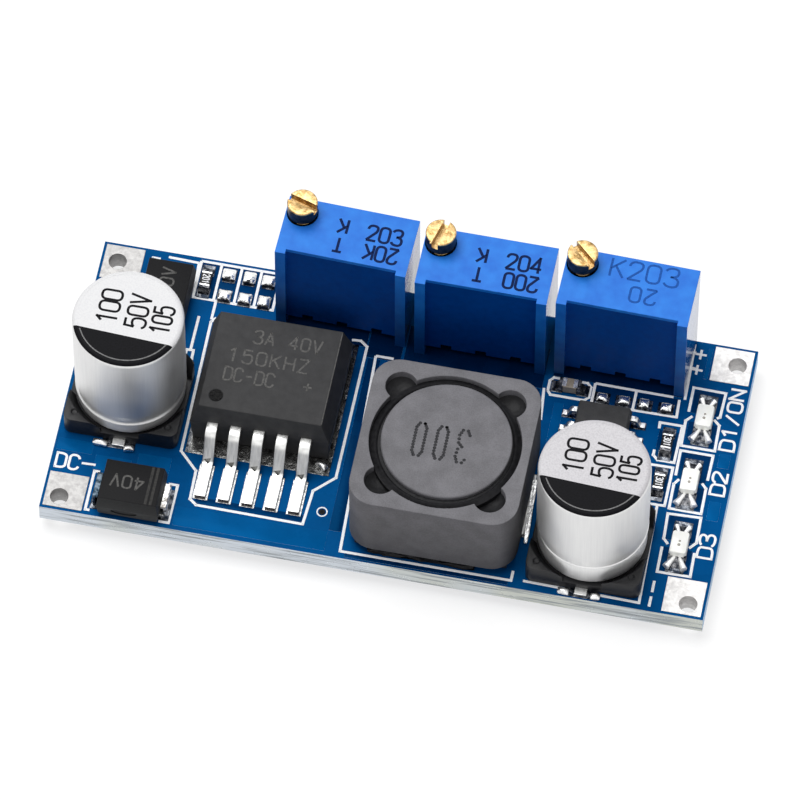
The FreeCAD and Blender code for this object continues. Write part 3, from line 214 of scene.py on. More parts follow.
def solder_mask(name, dark, light):
    """Glossy blue mask over glass weave, with the laminate's cut edge round it."""
    finish = Finish(name, light, 0.3, Specular_IOR_Level=0.16, Specular_Tint=(0.0, 0.4, 1.0))
    cloud = finish.noise(2.5, 4.0)
    weave = finish.sums("ADD", finish.bands(0.42, "X", 0.6), finish.bands(0.42, "Y", 0.6))
    blue = finish.mottle(cloud, 0.3, 0.7, dark, light)
    fibre = finish.mottle(finish.noise(9.0, 2.0), 0.45, 0.62, (0.93, 0.95, 0.95), (0.88, 0.87, 0.74))
    streaks = finish.noise(0.5, 5.0, (0.12, 0.12, 2.2))
    laminate = finish.mottle(streaks, 0.36, 0.52, (0.45, 0.45, 0.42), fibre)
    upright = finish.sums("ABSOLUTE", finish.facing("Z"))
    finish.tint(finish.mottle(upright, 0.35, 0.5, laminate, blue))
    finish.give("Metallic", finish.levels(upright, 0.5, 0.35, 0, 0.45))
    finish.gloss(cloud, 0.22, 0.34)
    finish.relief((weave, 0.0008), (cloud, 0.015))
    return finish.material


def can_aluminium():
    """Satin drawn aluminium with faint upright drawing lines, duller near the foot."""
    finish = Finish("can_aluminium", (0.62, 0.62, 0.63), 0.48, 1.0)
    lines = finish.noise(0.12, 3.0, (1, 1, 0.03))
    finish.tint(finish.mottle(lines, 0.3, 0.7, (0.71, 0.71, 0.71), (0.76, 0.76, 0.755)))
    finish.gloss(finish.noise(3.0, 2.0), 0.44, 0.52)
    finish.relief((lines, 0.0016))
    finish.give("Metallic", finish.levels(finish.along("Z"), 4.0, 5.2, 0.3, 1.0))
    return finish.material


def turned_brass(name, dark, bright, roughness):
    """Turned brass with scratches and tarnish."""
    finish = Finish(name, bright, roughness, 1.0)
    cloud, lines = finish.noise(0.3, 5.0), finish.noise(0.06, 3.0, (0.5, 1.6, 1))
    finish.tint(finish.mottle(cloud, 0.32, 0.66, dark, bright))
    finish.gloss(cloud, roughness * 0.85, roughness * 1.4)
    finish.relief((cloud, 0.03), (lines, 0.012))
    return finish.material


def milky_resin():
    """Lamp resin with painted light: a faint glow that brightens it."""
    # painted light: the emission makes the unlit lens glow
    finish = Finish("lamp_lens", (0.97, 0.97, 0.93), 0.3, Coat_Weight=0.3, Coat_Roughness=0.1,
                    Emission_Color=(1, 1, 0.95), Emission_Strength=0.15)
    cloud = finish.noise(0.4)
    finish.tint(finish.mottle(cloud, 0.3, 0.7, (0.94, 0.95, 0.88), (0.99, 0.99, 0.96)))
    finish.gloss(cloud, 0.2, 0.34)
    finish.relief((cloud, 0.01))
    return finish.material


def bent_tin():
    """Matt tin plating: bright on the flats; where a lead was bent down it has drawing lines and is painted
    darker as shade.
    """
    finish = Finish("lead_tin", (0.85, 0.85, 0.84), 0.36, 1.0)
    drawn, cloud = finish.noise(0.12, 3.0, (1, 0.12, 0.12)), finish.noise(0.5, 4.0)
    bright = finish.mottle(cloud, 0.35, 0.65, (0.66, 0.66, 0.65), (0.88, 0.88, 0.86))
    dull = finish.mottle(drawn, 0.3, 0.7, (0.3, 0.3, 0.3), (0.5, 0.5, 0.49))
    # painted shade: the sloping faces take the darker colour and the flats that face up take the bright one
    finish.tint(finish.mottle(finish.facing("Z"), 0.35, 0.85, dull, bright))
    finish.gloss(cloud, 0.3, 0.42)
    finish.relief((cloud, 0.01), (drawn, 0.008))
    return finish.material


def trimmer_plastic():
    """Blue thermoplastic: grained top and front, polished sides, and painted shade that darkens its upright
    faces towards the board.
    """
    finish = Finish("trimmer_blue", (0.01, 0.2, 0.8), 0.45, Specular_IOR_Level=0.35)
    cloud, fine = finish.noise(1.1, 4.0), finish.noise(0.1)
    finish.tint(finish.mottle(cloud, 0.3, 0.7, (0.002, 0.17, 0.76), (0.014, 0.25, 0.9)))
    finish.gloss(finish.sums("ABSOLUTE", finish.facing("X")), 0.45, 0.1, 0.6, 0.95)
    finish.relief((cloud, 0.01), (fine, 0.004))
    # painted shade: the upright faces darken lower down, where less light reaches
    height = finish.levels(finish.along("Z"), 4, 13.5)
    finish.shade(finish.sums("MAXIMUM", height, finish.levels(finish.facing("Z"), 0.1, 0.6)), 0.36)
    return finish.material


def pressed_ferrite():
    """Pressed ferrite, with painted shade towards the foot of its walls and on the faces that turn to the
    right, away from the light.
    """
    finish = Finish("ferrite", (0.19, 0.185, 0.2), 0.62, Specular_IOR_Level=0.25)
    cloud, fine = finish.noise(1.3), finish.noise(0.09)
    grain = finish.mixed(cloud, fine, 0.5)
    finish.tint(finish.mottle(grain, 0.36, 0.64, (0.15, 0.148, 0.158), (0.225, 0.222, 0.238)))
    finish.gloss(fine, 0.56, 0.68)
    finish.relief((fine, 0.01))
    # painted shade: darker towards the foot of the walls, and on the faces that turn away from the light to
    # the right
    finish.shade(finish.levels(finish.along("Z"), 2.6, 8.6), 0.5)
    finish.shade(finish.levels(finish.facing("X"), 0.95, 0.45), 0.3)
    return finish.material


def diode_moulding():
    """Moulded epoxy with a smooth dark top and duller, paler sides."""
    finish = Finish("diode_epoxy", (0.02, 0.02, 0.021), 0.5, Specular_IOR_Level=0.1)
    fine = finish.noise(0.05)
    top = finish.mottle(fine, 0.36, 0.64, (0.006, 0.006, 0.007), (0.014, 0.014, 0.015))
    side = finish.mottle(fine, 0.36, 0.64, (0.028, 0.029, 0.03), (0.05, 0.051, 0.052))
    finish.tint(finish.mottle(finish.facing("Z"), 0.4, 0.8, side, top))
    finish.gloss(fine, 0.45, 0.6)
    finish.relief((fine, 0.006))
    return finish.material


def land_tin():
    """Tinned lands: pale under the regulator's leads, darker at its tab with painted shade on the strip
    beside its right side, dull elsewhere.
    """
    finish = Finish("tinned_lands", (0.4, 0.4, 0.4), 0.25, 1.0)
    cloud, fine = finish.noise(0.45, 4.0, distortion=0.4), finish.noise(0.08, 2.0)
    pale = finish.mottle(cloud, 0.35, 0.65, (0.34, 0.34, 0.34), (0.62, 0.62, 0.61))
    dull = finish.mottle(cloud, 0.42, 0.62, (0.015, 0.02, 0.03), (0.2, 0.21, 0.23))
    across, along = finish.along("X"), finish.along("Y")
    beside = finish.mottle(cloud, 0.35, 0.65, (0.1, 0.1, 0.1), (0.42, 0.42, 0.41))
    edge = finish.mottle(cloud, 0.35, 0.65, (0.01, 0.01, 0.01), (0.1, 0.1, 0.1))
    # painted shade: the tab's land darkens towards its right end, beside the regulator's shaded right side
    tab = finish.mottle(across, -4.75, -4.6, beside, edge)
    below = finish.sums("MULTIPLY", finish.levels(across, -4.2, -4.4), finish.levels(across, -14.6, -14.4))
    under_tab = finish.sums("MULTIPLY", finish.levels(along, 6.2, 6.0), below)
    leads = finish.sums("MULTIPLY", finish.levels(along, -5.0, -5.3), below)
    finish.tint(finish.blend(leads, finish.blend(under_tab, dull, tab), pale))
    finish.gloss(fine, 0.2, 0.32)
    finish.relief((cloud, 0.03), (fine, 0.012))
    return finish.material


def pad_tin():
    """Tinned corner pads; those at the input end are darker, painted shade against the overhead lamp's
    highlight there.
    """
    finish = Finish("pad_tin", (0.55, 0.54, 0.54), 0.6, 1.0)
    cloud, fine = finish.noise(0.35, 4.0, distortion=0.4), finish.noise(0.06, 2.0)
    finish.tint(finish.mottle(cloud, 0.35, 0.65, (0.56, 0.55, 0.545), (0.72, 0.71, 0.7)))
    finish.gloss(fine, 0.5, 0.7)
    finish.relief((cloud, 0.012), (fine, 0.004))
    # painted shade: darker towards the input end, where the lamp's highlight falls
    finish.shade(finish.levels(finish.along("X"), -12, 12), 0.66)
    return finish.material


def mottled_clips():
    """Clips of the front diode; the left one is dull."""
    finish = Finish("diode_clips", (0.5, 0.5, 0.5), 0.3, 1.0)
    cloud = finish.noise(0.35, 4.0, distortion=0.4)
    bright = finish.mottle(cloud, 0.4, 0.56, (0.16, 0.15, 0.14), (0.85, 0.85, 0.83))
    dull = finish.mottle(cloud, 0.4, 0.62, (0.01, 0.02, 0.03), (0.1, 0.13, 0.16))
    finish.tint(finish.mottle(finish.along("X"), -18, -17, dull, bright))
    finish.gloss(cloud, 0.24, 0.36)
    finish.relief((cloud, 0.04))
    return finish.material


def land_solder():
    """Bright solder whose slopes away from the light are dark."""
    finish = Finish("land_solder", (0.93, 0.93, 0.92), 0.2, 1.0)
    cloud = finish.noise(0.25, 4.0, distortion=0.6)
    slope = finish.sums("ADD", finish.facing("Y"), finish.levels(cloud, 0.3, 0.7, -0.45, 0.45))
    finish.tint(finish.mottle(slope, -0.7, -0.3, (0.05, 0.052, 0.06), (0.93, 0.93, 0.92)))
    finish.gloss(cloud, 0.16, 0.28)
    finish.relief((cloud, 0.05))
    return finish.material


# The finish of each material slot of the record.
FINISHES = {
    "solder_mask": solder_mask("solder_mask", (0.0004, 0.062, 0.215), (0.0008, 0.085, 0.285)),
    "tinned": land_tin(),
    "solder": metal("solder", (0.1, 0.1, 0.1), (0.6, 0.6, 0.59), 0.2, 0.3, 0.05, spread=(0.4, 0.62)),
    "lead_tin": bent_tin(),
    "copper_tab": metal("copper_tab", (0.16, 0.16, 0.16), (0.5, 0.5, 0.49), 0.18, 0.5, 0.03),
    "black_epoxy": moulded("black_epoxy", (0.022, 0.022, 0.023), (0.044, 0.044, 0.045), 0.62, 0.05, 0.008,
                           0.3),
    "can": can_aluminium(),
    "black_base": moulded("black_base", (0.005, 0.005, 0.006), (0.013, 0.013, 0.015), 0.42, 0.06, 0.006, 0.3),
    "ferrite": pressed_ferrite(),
    "winding": metal("winding", (0.3, 0.1, 0.03), (0.6, 0.25, 0.1), 0.4, 0.3, 0.02, (0.3, 0.3, 5)),
    "glue": moulded("glue", (0.007, 0.007, 0.008), (0.02, 0.02, 0.022), 0.45, 0.3, 0.03, 0.14),
    "trimmer_blue": trimmer_plastic(),
    "potting": moulded("potting", (0.0, 0.052, 0.29), (0.0004, 0.072, 0.37), 0.4, 0.5, 0.0001, 0.08),
    "screw_brass": turned_brass("screw_brass", (0.3, 0.18, 0.06), (0.68, 0.485, 0.24), 0.3),
    "seal_rubber": moulded("seal_rubber", (0.006, 0.006, 0.006), (0.015, 0.015, 0.015), 0.7, 0.06, 0.01, 0.2),
    "lamp_base": moulded("lamp_base", (0.7, 0.7, 0.64), (0.82, 0.82, 0.77), 0.5, 0.08, 0.004),
    "lamp_lens": milky_resin(),
    "resistor": moulded("resistor", (0.003, 0.003, 0.004), (0.008, 0.008, 0.009), 0.3, 0.07, 0.004, 0.2),
    "ceramic": moulded("ceramic", (0.3, 0.25, 0.19), (0.46, 0.4, 0.32), 0.45, 0.06, 0.006),
}

PAD_TIN = pad_tin()
DIODE_CLIPS = mottled_clips()
DIODE_EPOXY = diode_moulding()
# painted shade: the dark side of a screw's head, where the brass mirrors dark surroundings
SCREW_SIDE_SHADE = turned_brass("screw_side_painted_shade", (0.02, 0.016, 0.014), (0.07, 0.055, 0.045), 0.35)
# painted shade in the tool mark's pit at a lead's heel
LEAD_PIT_SHADE = metal("lead_pit_painted_shade", (0.06, 0.06, 0.06), (0.3, 0.3, 0.29), 0.45, 0.1, 0.01)
CUT_END = metal("cut_lead_end", (0.06, 0.05, 0.045), (0.2, 0.17, 0.15), 0.5, 0.1, 0.02)

DULL_SOLDER = metal("dull_solder", (0.012, 0.015, 0.022), (0.2, 0.2, 0.21), 0.2, 0.3, 0.05,
                    spread=(0.42, 0.66))
BRIGHT_SOLDER = metal("bright_solder", (0.6, 0.6, 0.6), (0.96, 0.96, 0.95), 0.3, 0.4, 0.03)
LAMP_SOLDER = metal("horn_solder", (0.88, 0.88, 0.88), (0.98, 0.98, 0.97), 0.5, 0.3, 0.01)
LAND_SOLDER = land_solder()

# partly painted shade: darker mask over bare laminate, also laid where shade falls between tall parts
BARE_AND_SHADE_MASK = solder_mask("mask_over_laminate", (0.0002, 0.024, 0.095), (0.0004, 0.038, 0.145))
# painted shade on the board at the trimmers' feet
SHADED_MASK = solder_mask("mask_in_shade", (0.0001, 0.011, 0.052), (0.0002, 0.018, 0.082))
COPPER_MASK = solder_mask("mask_over_copper", (0.0006, 0.088, 0.28), (0.001, 0.112, 0.35))

# painted light: the white legend glows a little
WHITE_INK = ink("white_legend", (0.9, 0.93, 0.96), (1.0, 1.0, 1.0), 0.55, painted_glow=0.1)
BLACK_INK = ink("black_print", (0.003, 0.003, 0.004), (0.007, 0.007, 0.009), 0.5, 0.07)
NAVY_INK = ink("navy_print", (0.001, 0.008, 0.05), (0.003, 0.018, 0.1), 0.6, 0.1)
WHITE_TOP = ink("white_can_top", (0.86, 0.86, 0.87), (0.93, 0.93, 0.93), 0.45, 0.3)
# painted shade: a darker copy of the white can top, for the output can
SHADED_WHITE_TOP = ink("white_can_top_painted_shade", (0.66, 0.645, 0.665), (0.78, 0.765, 0.785), 0.45, 0.3)
# painted highlight: the light that the can's rounded rim catches inside the black mark
RIM_HIGHLIGHT = ink("painted_rim_highlight", (0.1, 0.1, 0.1), (0.22, 0.22, 0.22), 0.45)
LASER_MARK = ink("laser_mark", (0.06, 0.059, 0.057), (0.15, 0.147, 0.14), 0.75, 0.25)
DOT_MARK = ink("dotted_value", (0.012, 0.012, 0.014), (0.05, 0.05, 0.054), 0.6, 0.15)
DIODE_BAND = ink("cathode_band", (0.024, 0.024, 0.023), (0.055, 0.054, 0.052), 0.65, 0.15)
ENGRAVED = ink("engraved_blue", (0.004, 0.07, 0.34), (0.008, 0.11, 0.48), 0.6, 0.2)
LAMP_CHIP = ink("lamp_chip", (0.2, 0.18, 0.15), (0.5, 0.47, 0.42), 0.5)
# painted shade for hollows: the regulator's pin dimple and the via's hole
PIT_SHADE = ink("painted_shade_pit", (0.002, 0.002, 0.002), (0.03, 0.03, 0.03), 0.85, 0.04)


# Modelling by hand

WELD = 1e-6  # corners closer than a thousandth of a millimetre become one
THIN = 1e-7  # the width of a cut


def alone(*pieces):
    """Selects these pieces and nothing else; the first one is active."""
    bpy.ops.object.select_all(action="DESELECT")
    for piece in pieces:
        piece.select_set(True)
    bpy.context.view_layer.objects.active = pieces[0]


def shape(piece, kind="FACE", whole=False):
    """Takes a piece into edit mode, with the whole of it selected or nothing."""
    alone(piece)
    bpy.ops.object.mode_set(mode="EDIT")
    bpy.ops.mesh.select_mode(type=kind)
    bpy.ops.mesh.select_all(action="SELECT" if whole else "DESELECT")


def done():
    """Leaves edit mode."""
    bpy.ops.object.mode_set(mode="OBJECT")


def pick(kind, test):
    """Selects the faces or edges that pass the test."""
    bpy.ops.mesh.select_all(action="DESELECT")
    mesh = bmesh.from_edit_mesh(bpy.context.object.data)
    for part in getattr(mesh, kind):
        if test(part):
            part.select_set(True)
    bmesh.update_edit_mesh(bpy.context.object.data)


def pick_faces(test):
    """Selects the faces whose centre in millimetres and normal pass the test."""
    pick("faces", lambda face: test(face.calc_center_median() / MM, face.normal))


def pick_edges(test):
    """Selects the edges whose middle in millimetres and direction pass the test."""
    def passes(edge):
        first, last = (corner.co / MM for corner in edge.verts)
        return test((first + last) / 2, (last - first).normalized())
    pick("edges", passes)


def facing_up(middle, normal):
    return normal.z > 0.9


def upright(middle, way):
    return abs(way.z) > 0.9


def bevel(width, segments):
    bpy.ops.mesh.bevel(offset=width * MM, segments=segments, profile=0.5, affect="EDGES")


def move(x, y, z):
    bpy.ops.transform.translate(value=mm(x, y, z))


def resize(factors, centre):
    bpy.ops.transform.resize(value=factors, center_override=mm(*centre))


def slice_off(place, normal, **sides):
    """Cuts what is selected along the plane through a place, and clears the side that is named."""
    bpy.ops.mesh.bisect(plane_co=mm(*place), plane_no=normal, threshold=THIN, **sides)


def give_finish(finish):
    """Puts a further finish on the faces picked."""
    piece = bpy.context.object
    piece.active_material_index = piece.data.materials.find(finish.name)
    bpy.ops.object.material_slot_assign()


def named(piece, name, finish=None):
    piece.name = piece.data.name = name
    if finish is not None:
        piece.data.materials.clear()
        piece.data.materials.append(finish)
    return piece


def fix_place(piece):
    """Writes a piece's place, turn and scale into its mesh."""
    alone(piece)
    bpy.ops.object.transform_apply(location=True, rotation=True, scale=True)
    return piece


def put(piece, x=0.0, y=0.0, z=0.0, turn=0.0, tilt=0.0):
    """Tilts and turns a piece about the origin, in degrees, moves it and fixes its place."""
    piece.rotation_euler = (math.radians(tilt), 0, math.radians(turn))
    piece.location = mm(x, y, z)
    return fix_place(piece)


def tidy_mesh(piece, angle=35):
    """Merges doubles, turns the faces outwards and shades the smooth parts smooth."""
    shape(piece, "VERT", whole=True)
    bpy.ops.mesh.remove_doubles(threshold=WELD)
    bpy.ops.mesh.normals_make_consistent(inside=False)
    done()
    bpy.ops.object.shade_smooth_by_angle(angle=math.radians(angle))
    return piece


def modifier(piece, kind, **settings):
    """Gives a piece a modifier with these settings and says its name."""
    added = piece.modifiers.new(kind.lower(), kind)
    for setting, value in settings.items():
        setattr(added, setting, value)
    return added.name


def modified(piece, kind, **settings):
    """Runs a modifier on a piece's mesh."""
    alone(piece)
    bpy.ops.object.modifier_apply(modifier=modifier(piece, kind, **settings))
    return piece


def edges(width, segments, angle):
    """A bevel's settings for the edges sharper than an angle."""
    return {"width": width * MM, "segments": segments, "limit_method": "ANGLE",
            "angle_limit": math.radians(angle)}


def round_off(piece, width, segments=2, angle=40):
    return modified(piece, "BEVEL", **edges(width, segments, angle))


def carve(piece, tool, **settings):
    """Cuts the tool's form out of the piece and removes the tool."""
    modified(piece, "BOOLEAN", operation="DIFFERENCE", solver="EXACT", object=tool, **settings)
    bpy.data.objects.remove(tool)
    return piece


def soften(node, width, segments):
    """Rounds a CAD node's edges with live modifiers; its own mesh stays as it is."""
    modifier(nodes[node], "WELD", merge_threshold=WELD)
    modifier(nodes[node], "DECIMATE", decimate_type="DISSOLVE", angle_limit=math.radians(1))
    modifier(nodes[node], "BEVEL", **edges(width, segments, 30))


def cube(name, size, centre, finish=None):
    bpy.ops.object.select_all(action="DESELECT")
    bpy.ops.mesh.primitive_cube_add(size=1, location=mm(*centre))
    bpy.context.object.scale = mm(*size)
    return named(fix_place(bpy.context.object), name, finish)


def rod(radius, depth, centre=(0, 0, 0), sides=40, tilt=0.0):
    """A round bar, upright or tilted."""
    bpy.ops.object.select_all(action="DESELECT")
    bpy.ops.mesh.primitive_cylinder_add(vertices=sides, radius=radius * MM, depth=depth * MM,
                                        rotation=(math.radians(tilt), 0, 0), location=mm(*centre))
    return bpy.context.object


def cone(foot, top, depth, centre=(0, 0, 0), sides=20, tilt=0.0, turn=0.0):
    """A blunt cone with its radius at the foot and at the top."""
    bpy.ops.object.select_all(action="DESELECT")
    bpy.ops.mesh.primitive_cone_add(vertices=sides, radius1=foot * MM, radius2=top * MM, depth=depth * MM,
                                    rotation=(math.radians(tilt), 0, math.radians(turn)),
                                    location=mm(*centre))
    return bpy.context.object


def disc(radius, sides):
    """A flat round face."""
    bpy.ops.object.select_all(action="DESELECT")
    bpy.ops.mesh.primitive_circle_add(vertices=sides, radius=radius * MM, fill_type="NGON")
    return bpy.context.object


def small_plane():
    bpy.ops.object.select_all(action="DESELECT")
    bpy.ops.mesh.primitive_plane_add(size=MM)
    return bpy.context.object


def extrude(x, y, z):
    bpy.ops.mesh.extrude_region_move(TRANSFORM_OT_translate={"value": mm(x, y, z)})


def turned(name, profile, finish, steps=96):
    """Spins a profile of (radius, height) corners round the upright axis."""
    piece = named(small_plane(), name, finish)
    shape(piece, "VERT", whole=True)
    bpy.ops.mesh.merge(type="CENTER")
    move(profile[0][0], 0, profile[0][1])
    for (start, low), (end, high) in zip(profile, profile[1:]):
        bpy.ops.mesh.extrude_vertices_move(TRANSFORM_OT_translate={"value": mm(end - start, 0, high - low)})
    bpy.ops.mesh.select_all(action="SELECT")
    bpy.ops.mesh.spin(steps=steps, angle=2 * math.pi, center=(0, 0, 0), axis=(0, 0, 1))
    done()
    return tidy_mesh(piece)


def arc(centre, radius, start, end, steps):
    """Points of (x, y) along an arc, angles in degrees."""
    angles = [math.radians(start + (end - start) * index / steps) for index in range(steps + 1)]
    return [(centre[0] + radius * math.cos(angle), centre[1] + radius * math.sin(angle)) for angle in angles]


def copied(piece, name):
    """A copy with a mesh of its own."""
    twin = piece.copy()
    twin.data = piece.data.copy()
    bpy.context.collection.objects.link(twin)
    return named(twin, name)


def joined(name, pieces, finish=None):
    alone(*pieces)
    bpy.ops.object.join()
    return named(bpy.context.object, name, finish)


def fixed(piece, body="root", stands_for=()):
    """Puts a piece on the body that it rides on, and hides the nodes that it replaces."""
    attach(piece, body)
    if stands_for:
        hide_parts(*stands_for)
    return piece


# Printed strokes

INK_RISE, LASER_RISE = 0.012, 0.008  # how far print and laser marks stand out
FIELD_WIDE, FIELD_HIGH = 4, 6  # the field that each letter stands on

# Each stroke: "line" has sharp corners, "curve" runs smoothly near its points, "loop" is a closed curve.
OVAL = [("loop", (0, 0), (4, 0), (4, 3), (4, 6), (0, 6), (0, 3))]
LETTERS = {
    "0": OVAL,
    "1": [("line", (0.6, 4.6), (2.2, 6), (2.2, 0))],
    "2": [("curve", (0, 4.4), (0.1, 6), (3.9, 6), (4, 3.9), (2.4, 2.4), (0, 0)), ("line", (0, 0), (4, 0))],
    "3": [("curve", (0, 5), (0.6, 6.1), (4, 6.1), (3.8, 3.2), (1.6, 3.2)),
          ("curve", (1.6, 3.2), (4.2, 3.2), (4.2, -0.1), (0.4, -0.1), (0, 1))],
    "4": [("line", (3, 0), (3, 6), (0, 1.7), (4.2, 1.7))],
    "5": [("line", (3.7, 6), (0.5, 6), (0.2, 3.2)),
          ("curve", (0.2, 3.2), (1, 4), (4.2, 3.9), (4.1, -0.1), (0.5, -0.1), (0, 1))],
    "A": [("line", (0, 0), (2, 6), (4, 0)), ("line", (0.7, 2), (3.3, 2))],
    "C": [("curve", (4, 4.6), (3.6, 6.1), (0, 6.1), (0, 3), (0, -0.1), (3.6, -0.1), (4, 1.4))],
    "D": [("line", (1.5, 6), (0, 6), (0, 0), (1.5, 0)),
          ("curve", (1.5, 6), (4, 6), (4, 3), (4, 0), (1.5, 0))],
    "H": [("line", (0, 0), (0, 6)), ("line", (4, 0), (4, 6)), ("line", (0, 3.1), (4, 3.1))],
    "K": [("line", (0, 0), (0, 6)), ("line", (4, 6), (0, 2.6)), ("line", (1.3, 3.7), (4, 0))],
    "N": [("line", (0, 0), (0, 6), (4, 0), (4, 6))],
    "O": OVAL,
    "T": [("line", (0, 6), (4, 6)), ("line", (2, 6), (2, 0))],
    "V": [("line", (0, 6), (2, 0), (4, 6))],
    "Z": [("line", (0, 6), (4, 6), (0, 0), (4, 0))],
    "/": [("line", (0.4, 0), (3.6, 6))],
    "+": [("line", (0.3, 3), (3.7, 3)), ("line", (2, 1.3), (2, 4.7))],
    "-": [("line", (0.4, 3), (3.6, 3))],
    " ": [],
}
SHARP_CORNER = 0.3  # radians


def arms(kind, points, width):
    """Cuts a stroke at its sharp corners and lets both arms run over the corner."""
    if kind != "line":
        return [(kind, points)]
    pieces, current = [], [points[0]]
    over = width * 0.45
    for before, corner, after in zip(points, points[1:], points[2:]):
        first = Vector(corner) - Vector(before)
        second = Vector(after) - Vector(corner)
        current.append(corner)
        if first.angle(second) > SHARP_CORNER:
            current[-1] = tuple(Vector(corner) + first.normalized() * over)
            pieces.append(current)
            current = [tuple(Vector(corner) - second.normalized() * over)]
    pieces.append([*current, points[-1]])
    return [(kind, piece) for piece in pieces]


def strokes(name, lines, width, finish, rise):
    """Rounded flat ribbons along the lines, which rise this far over the plane z = 0."""
    curve = bpy.data.curves.new(name, "CURVE")
    curve.dimensions, curve.fill_mode, curve.use_fill_caps = "3D", "FULL", True
    curve.bevel_depth, curve.bevel_resolution, curve.resolution_u = width * MM / 2, 1, 5
    for kind, points in (arm for kind, *points in lines for arm in arms(kind, points, width)):
        spline = curve.splines.new("POLY" if kind == "line" else "NURBS")
        spline.points.add(len(points) - 1)
        for point, (x, y) in zip(spline.points, points):
            point.co = (*mm(x, y), 0, 1)
        spline.use_cyclic_u = kind == "loop"
        if kind != "line":
            spline.order_u = 3
            spline.use_endpoint_u = kind == "curve"
    piece = bpy.data.objects.new(name, curve)
    bpy.context.collection.objects.link(piece)
    alone(piece)
    bpy.ops.object.convert(target="MESH")
    piece = named(bpy.context.object, name, finish)
    piece.scale = (1, 1, 2 * rise / width)
    fix_place(piece)
    bpy.ops.object.shade_smooth_by_angle(angle=math.radians(60))
    return piece


def printed(name, lines, width, finish, rise, place, turn=0.0):
    """Strokes printed on a piece of the part, at a place in millimetres."""
    return fixed(put(strokes(name, lines, width, finish, rise), *place, turn))


def words(text, x, y, high, wide, pitch=0.0, turn=0.0):
    """The strokes of a word: its first letter's lower left corner is at x, y."""
    cosine, sine = math.cos(math.radians(turn)), math.sin(math.radians(turn))

    def placed(index, across, up):
        along, rise = index * pitch + across / FIELD_WIDE * wide, up / FIELD_HIGH * high
        return x + along * cosine - rise * sine, y + along * sine + rise * cosine

    return [(kind, *(placed(index, *point) for point in points))
            for index, letter in enumerate(text) for kind, *points in LETTERS[letter]]


def rows_of_words(rows, turn=0.0):
    """Several words, each a row of text, x, y, height, width and pitch."""
    return [stroke for row in rows for stroke in words(*row, turn=turn)]


# Finishes and soft edges of the CAD nodes

OWN_FINISHES = {
    "terminal_pads": PAD_TIN, "catch_diode_terminals": DIODE_CLIPS,
    "chip_end_caps": DULL_SOLDER, "solder_fillets": DULL_SOLDER,
    **{"led_%d_terminals" % number: DULL_SOLDER for number in NUMBERS},
}
for part in frame["record"]["subparts"]:
    finish = OWN_FINISHES.get(part["node"], FINISHES[part["material_slot"]])
    node = nodes[part["node"]]
    node.data.materials.clear()
    node.data.materials.append(finish)

# The width of each round edge in millimetres, its segments and the nodes that have it.
SOFT_EDGES = [
    (0.1, 3, ["trimmer_%d_housing" % number for number in NUMBERS]),
    (0.08, 3, ["regulator_body"]),
    (0.06, 2, ["regulator_tab", "chip_capacitor"]),
    (0.05, 2, ["board", "inductor_base", "inductor_terminals", "opamp_body", "chip_end_caps"]),
    (0.04, 2, ["chip_resistors", "input_capacitor_terminals", "output_capacitor_terminals",
               "catch_diode_terminals", "input_diode_terminals"]),
    (0.03, 2, ["terminal_pads", "tinned_lands", "opamp_leads",
               *("trimmer_%d_pins" % number for number in NUMBERS)]),
    (0.02, 2, ["led_%d_%s" % (number, part) for number in NUMBERS for part in ("base", "terminals")]),
]
for width, segments, names in SOFT_EDGES:
    for name in names:
        soften(name, width, segments)


# Capacitors

CAN_SUNK = 0.25  # how much deeper each can sits in its base than in the CAD
RIM = 0.36  # radius of a can's top edge
CHORD, CHORD_NORMAL = -1.5, (0.05, 1, 0)  # where the black mark ends on a can's top
CAN_ROWS = [("100", -0.75, -0.65, 1.45, 0.78, 0.95), ("50V", 1.3, -0.68, 1.45, 0.74, 0.98),
            ("105", 3.1, -0.8, 1.4, 0.6, 0.78)]


def flat_disc(name, radius, thick, finish, chord=None):
    """A printed disc, or the part of it in front of a chord."""
    piece = named(disc(radius, 96), name, finish)
    shape(piece, whole=True)
    if chord is not None:
        slice_off((0, chord, 0), CHORD_NORMAL, clear_outer=True)
        bpy.ops.mesh.select_all(action="SELECT")
    extrude(0, 0, thick)
    done()
    return tidy_mesh(piece)


def can_shell(name, radius, height, bead, groove):
    """Drawn can with a rolled foot, a bead over it, a pressed groove and a tight top edge."""
    pressed = radius - groove
    profile = [(0, 0), (radius - 0.35, 0), *arc((radius - 0.33, 0.25), 0.25, -80, 0, 4)]
    profile += [(radius - 0.08, bead - 0.3), (radius - 0.14, bead - 0.16)]
    profile += arc((radius - 0.13, bead), 0.13, -50, 60, 6)
    profile += [(pressed, bead + 0.22), (pressed, bead + 0.42), (radius - groove * 0.4, bead + 0.75)]
    profile += [(radius, bead + 1.2), (radius, height - 0.4)]
    profile += [*arc((radius - RIM, height - RIM), RIM, 5, 90, 6), (0, height)]
    return turned(name, profile, FINISHES["can"])


def rim_mark(name, radius, finish, front):
    """The print's outer edge, which runs over the can's rounded rim in front of or behind the chord."""
    profile = arc((radius - 0.37, -RIM), 0.37, 90, 34, 6) + arc((radius - RIM, -RIM), 0.352, 34, 88, 6)
    ring = turned(name, [*profile, profile[0]], finish)
    shape(ring, whole=True)
    slice_off((0, CHORD, 0), CHORD_NORMAL, clear_outer=front, clear_inner=not front, use_fill=True)
    done()
    return tidy_mesh(ring)


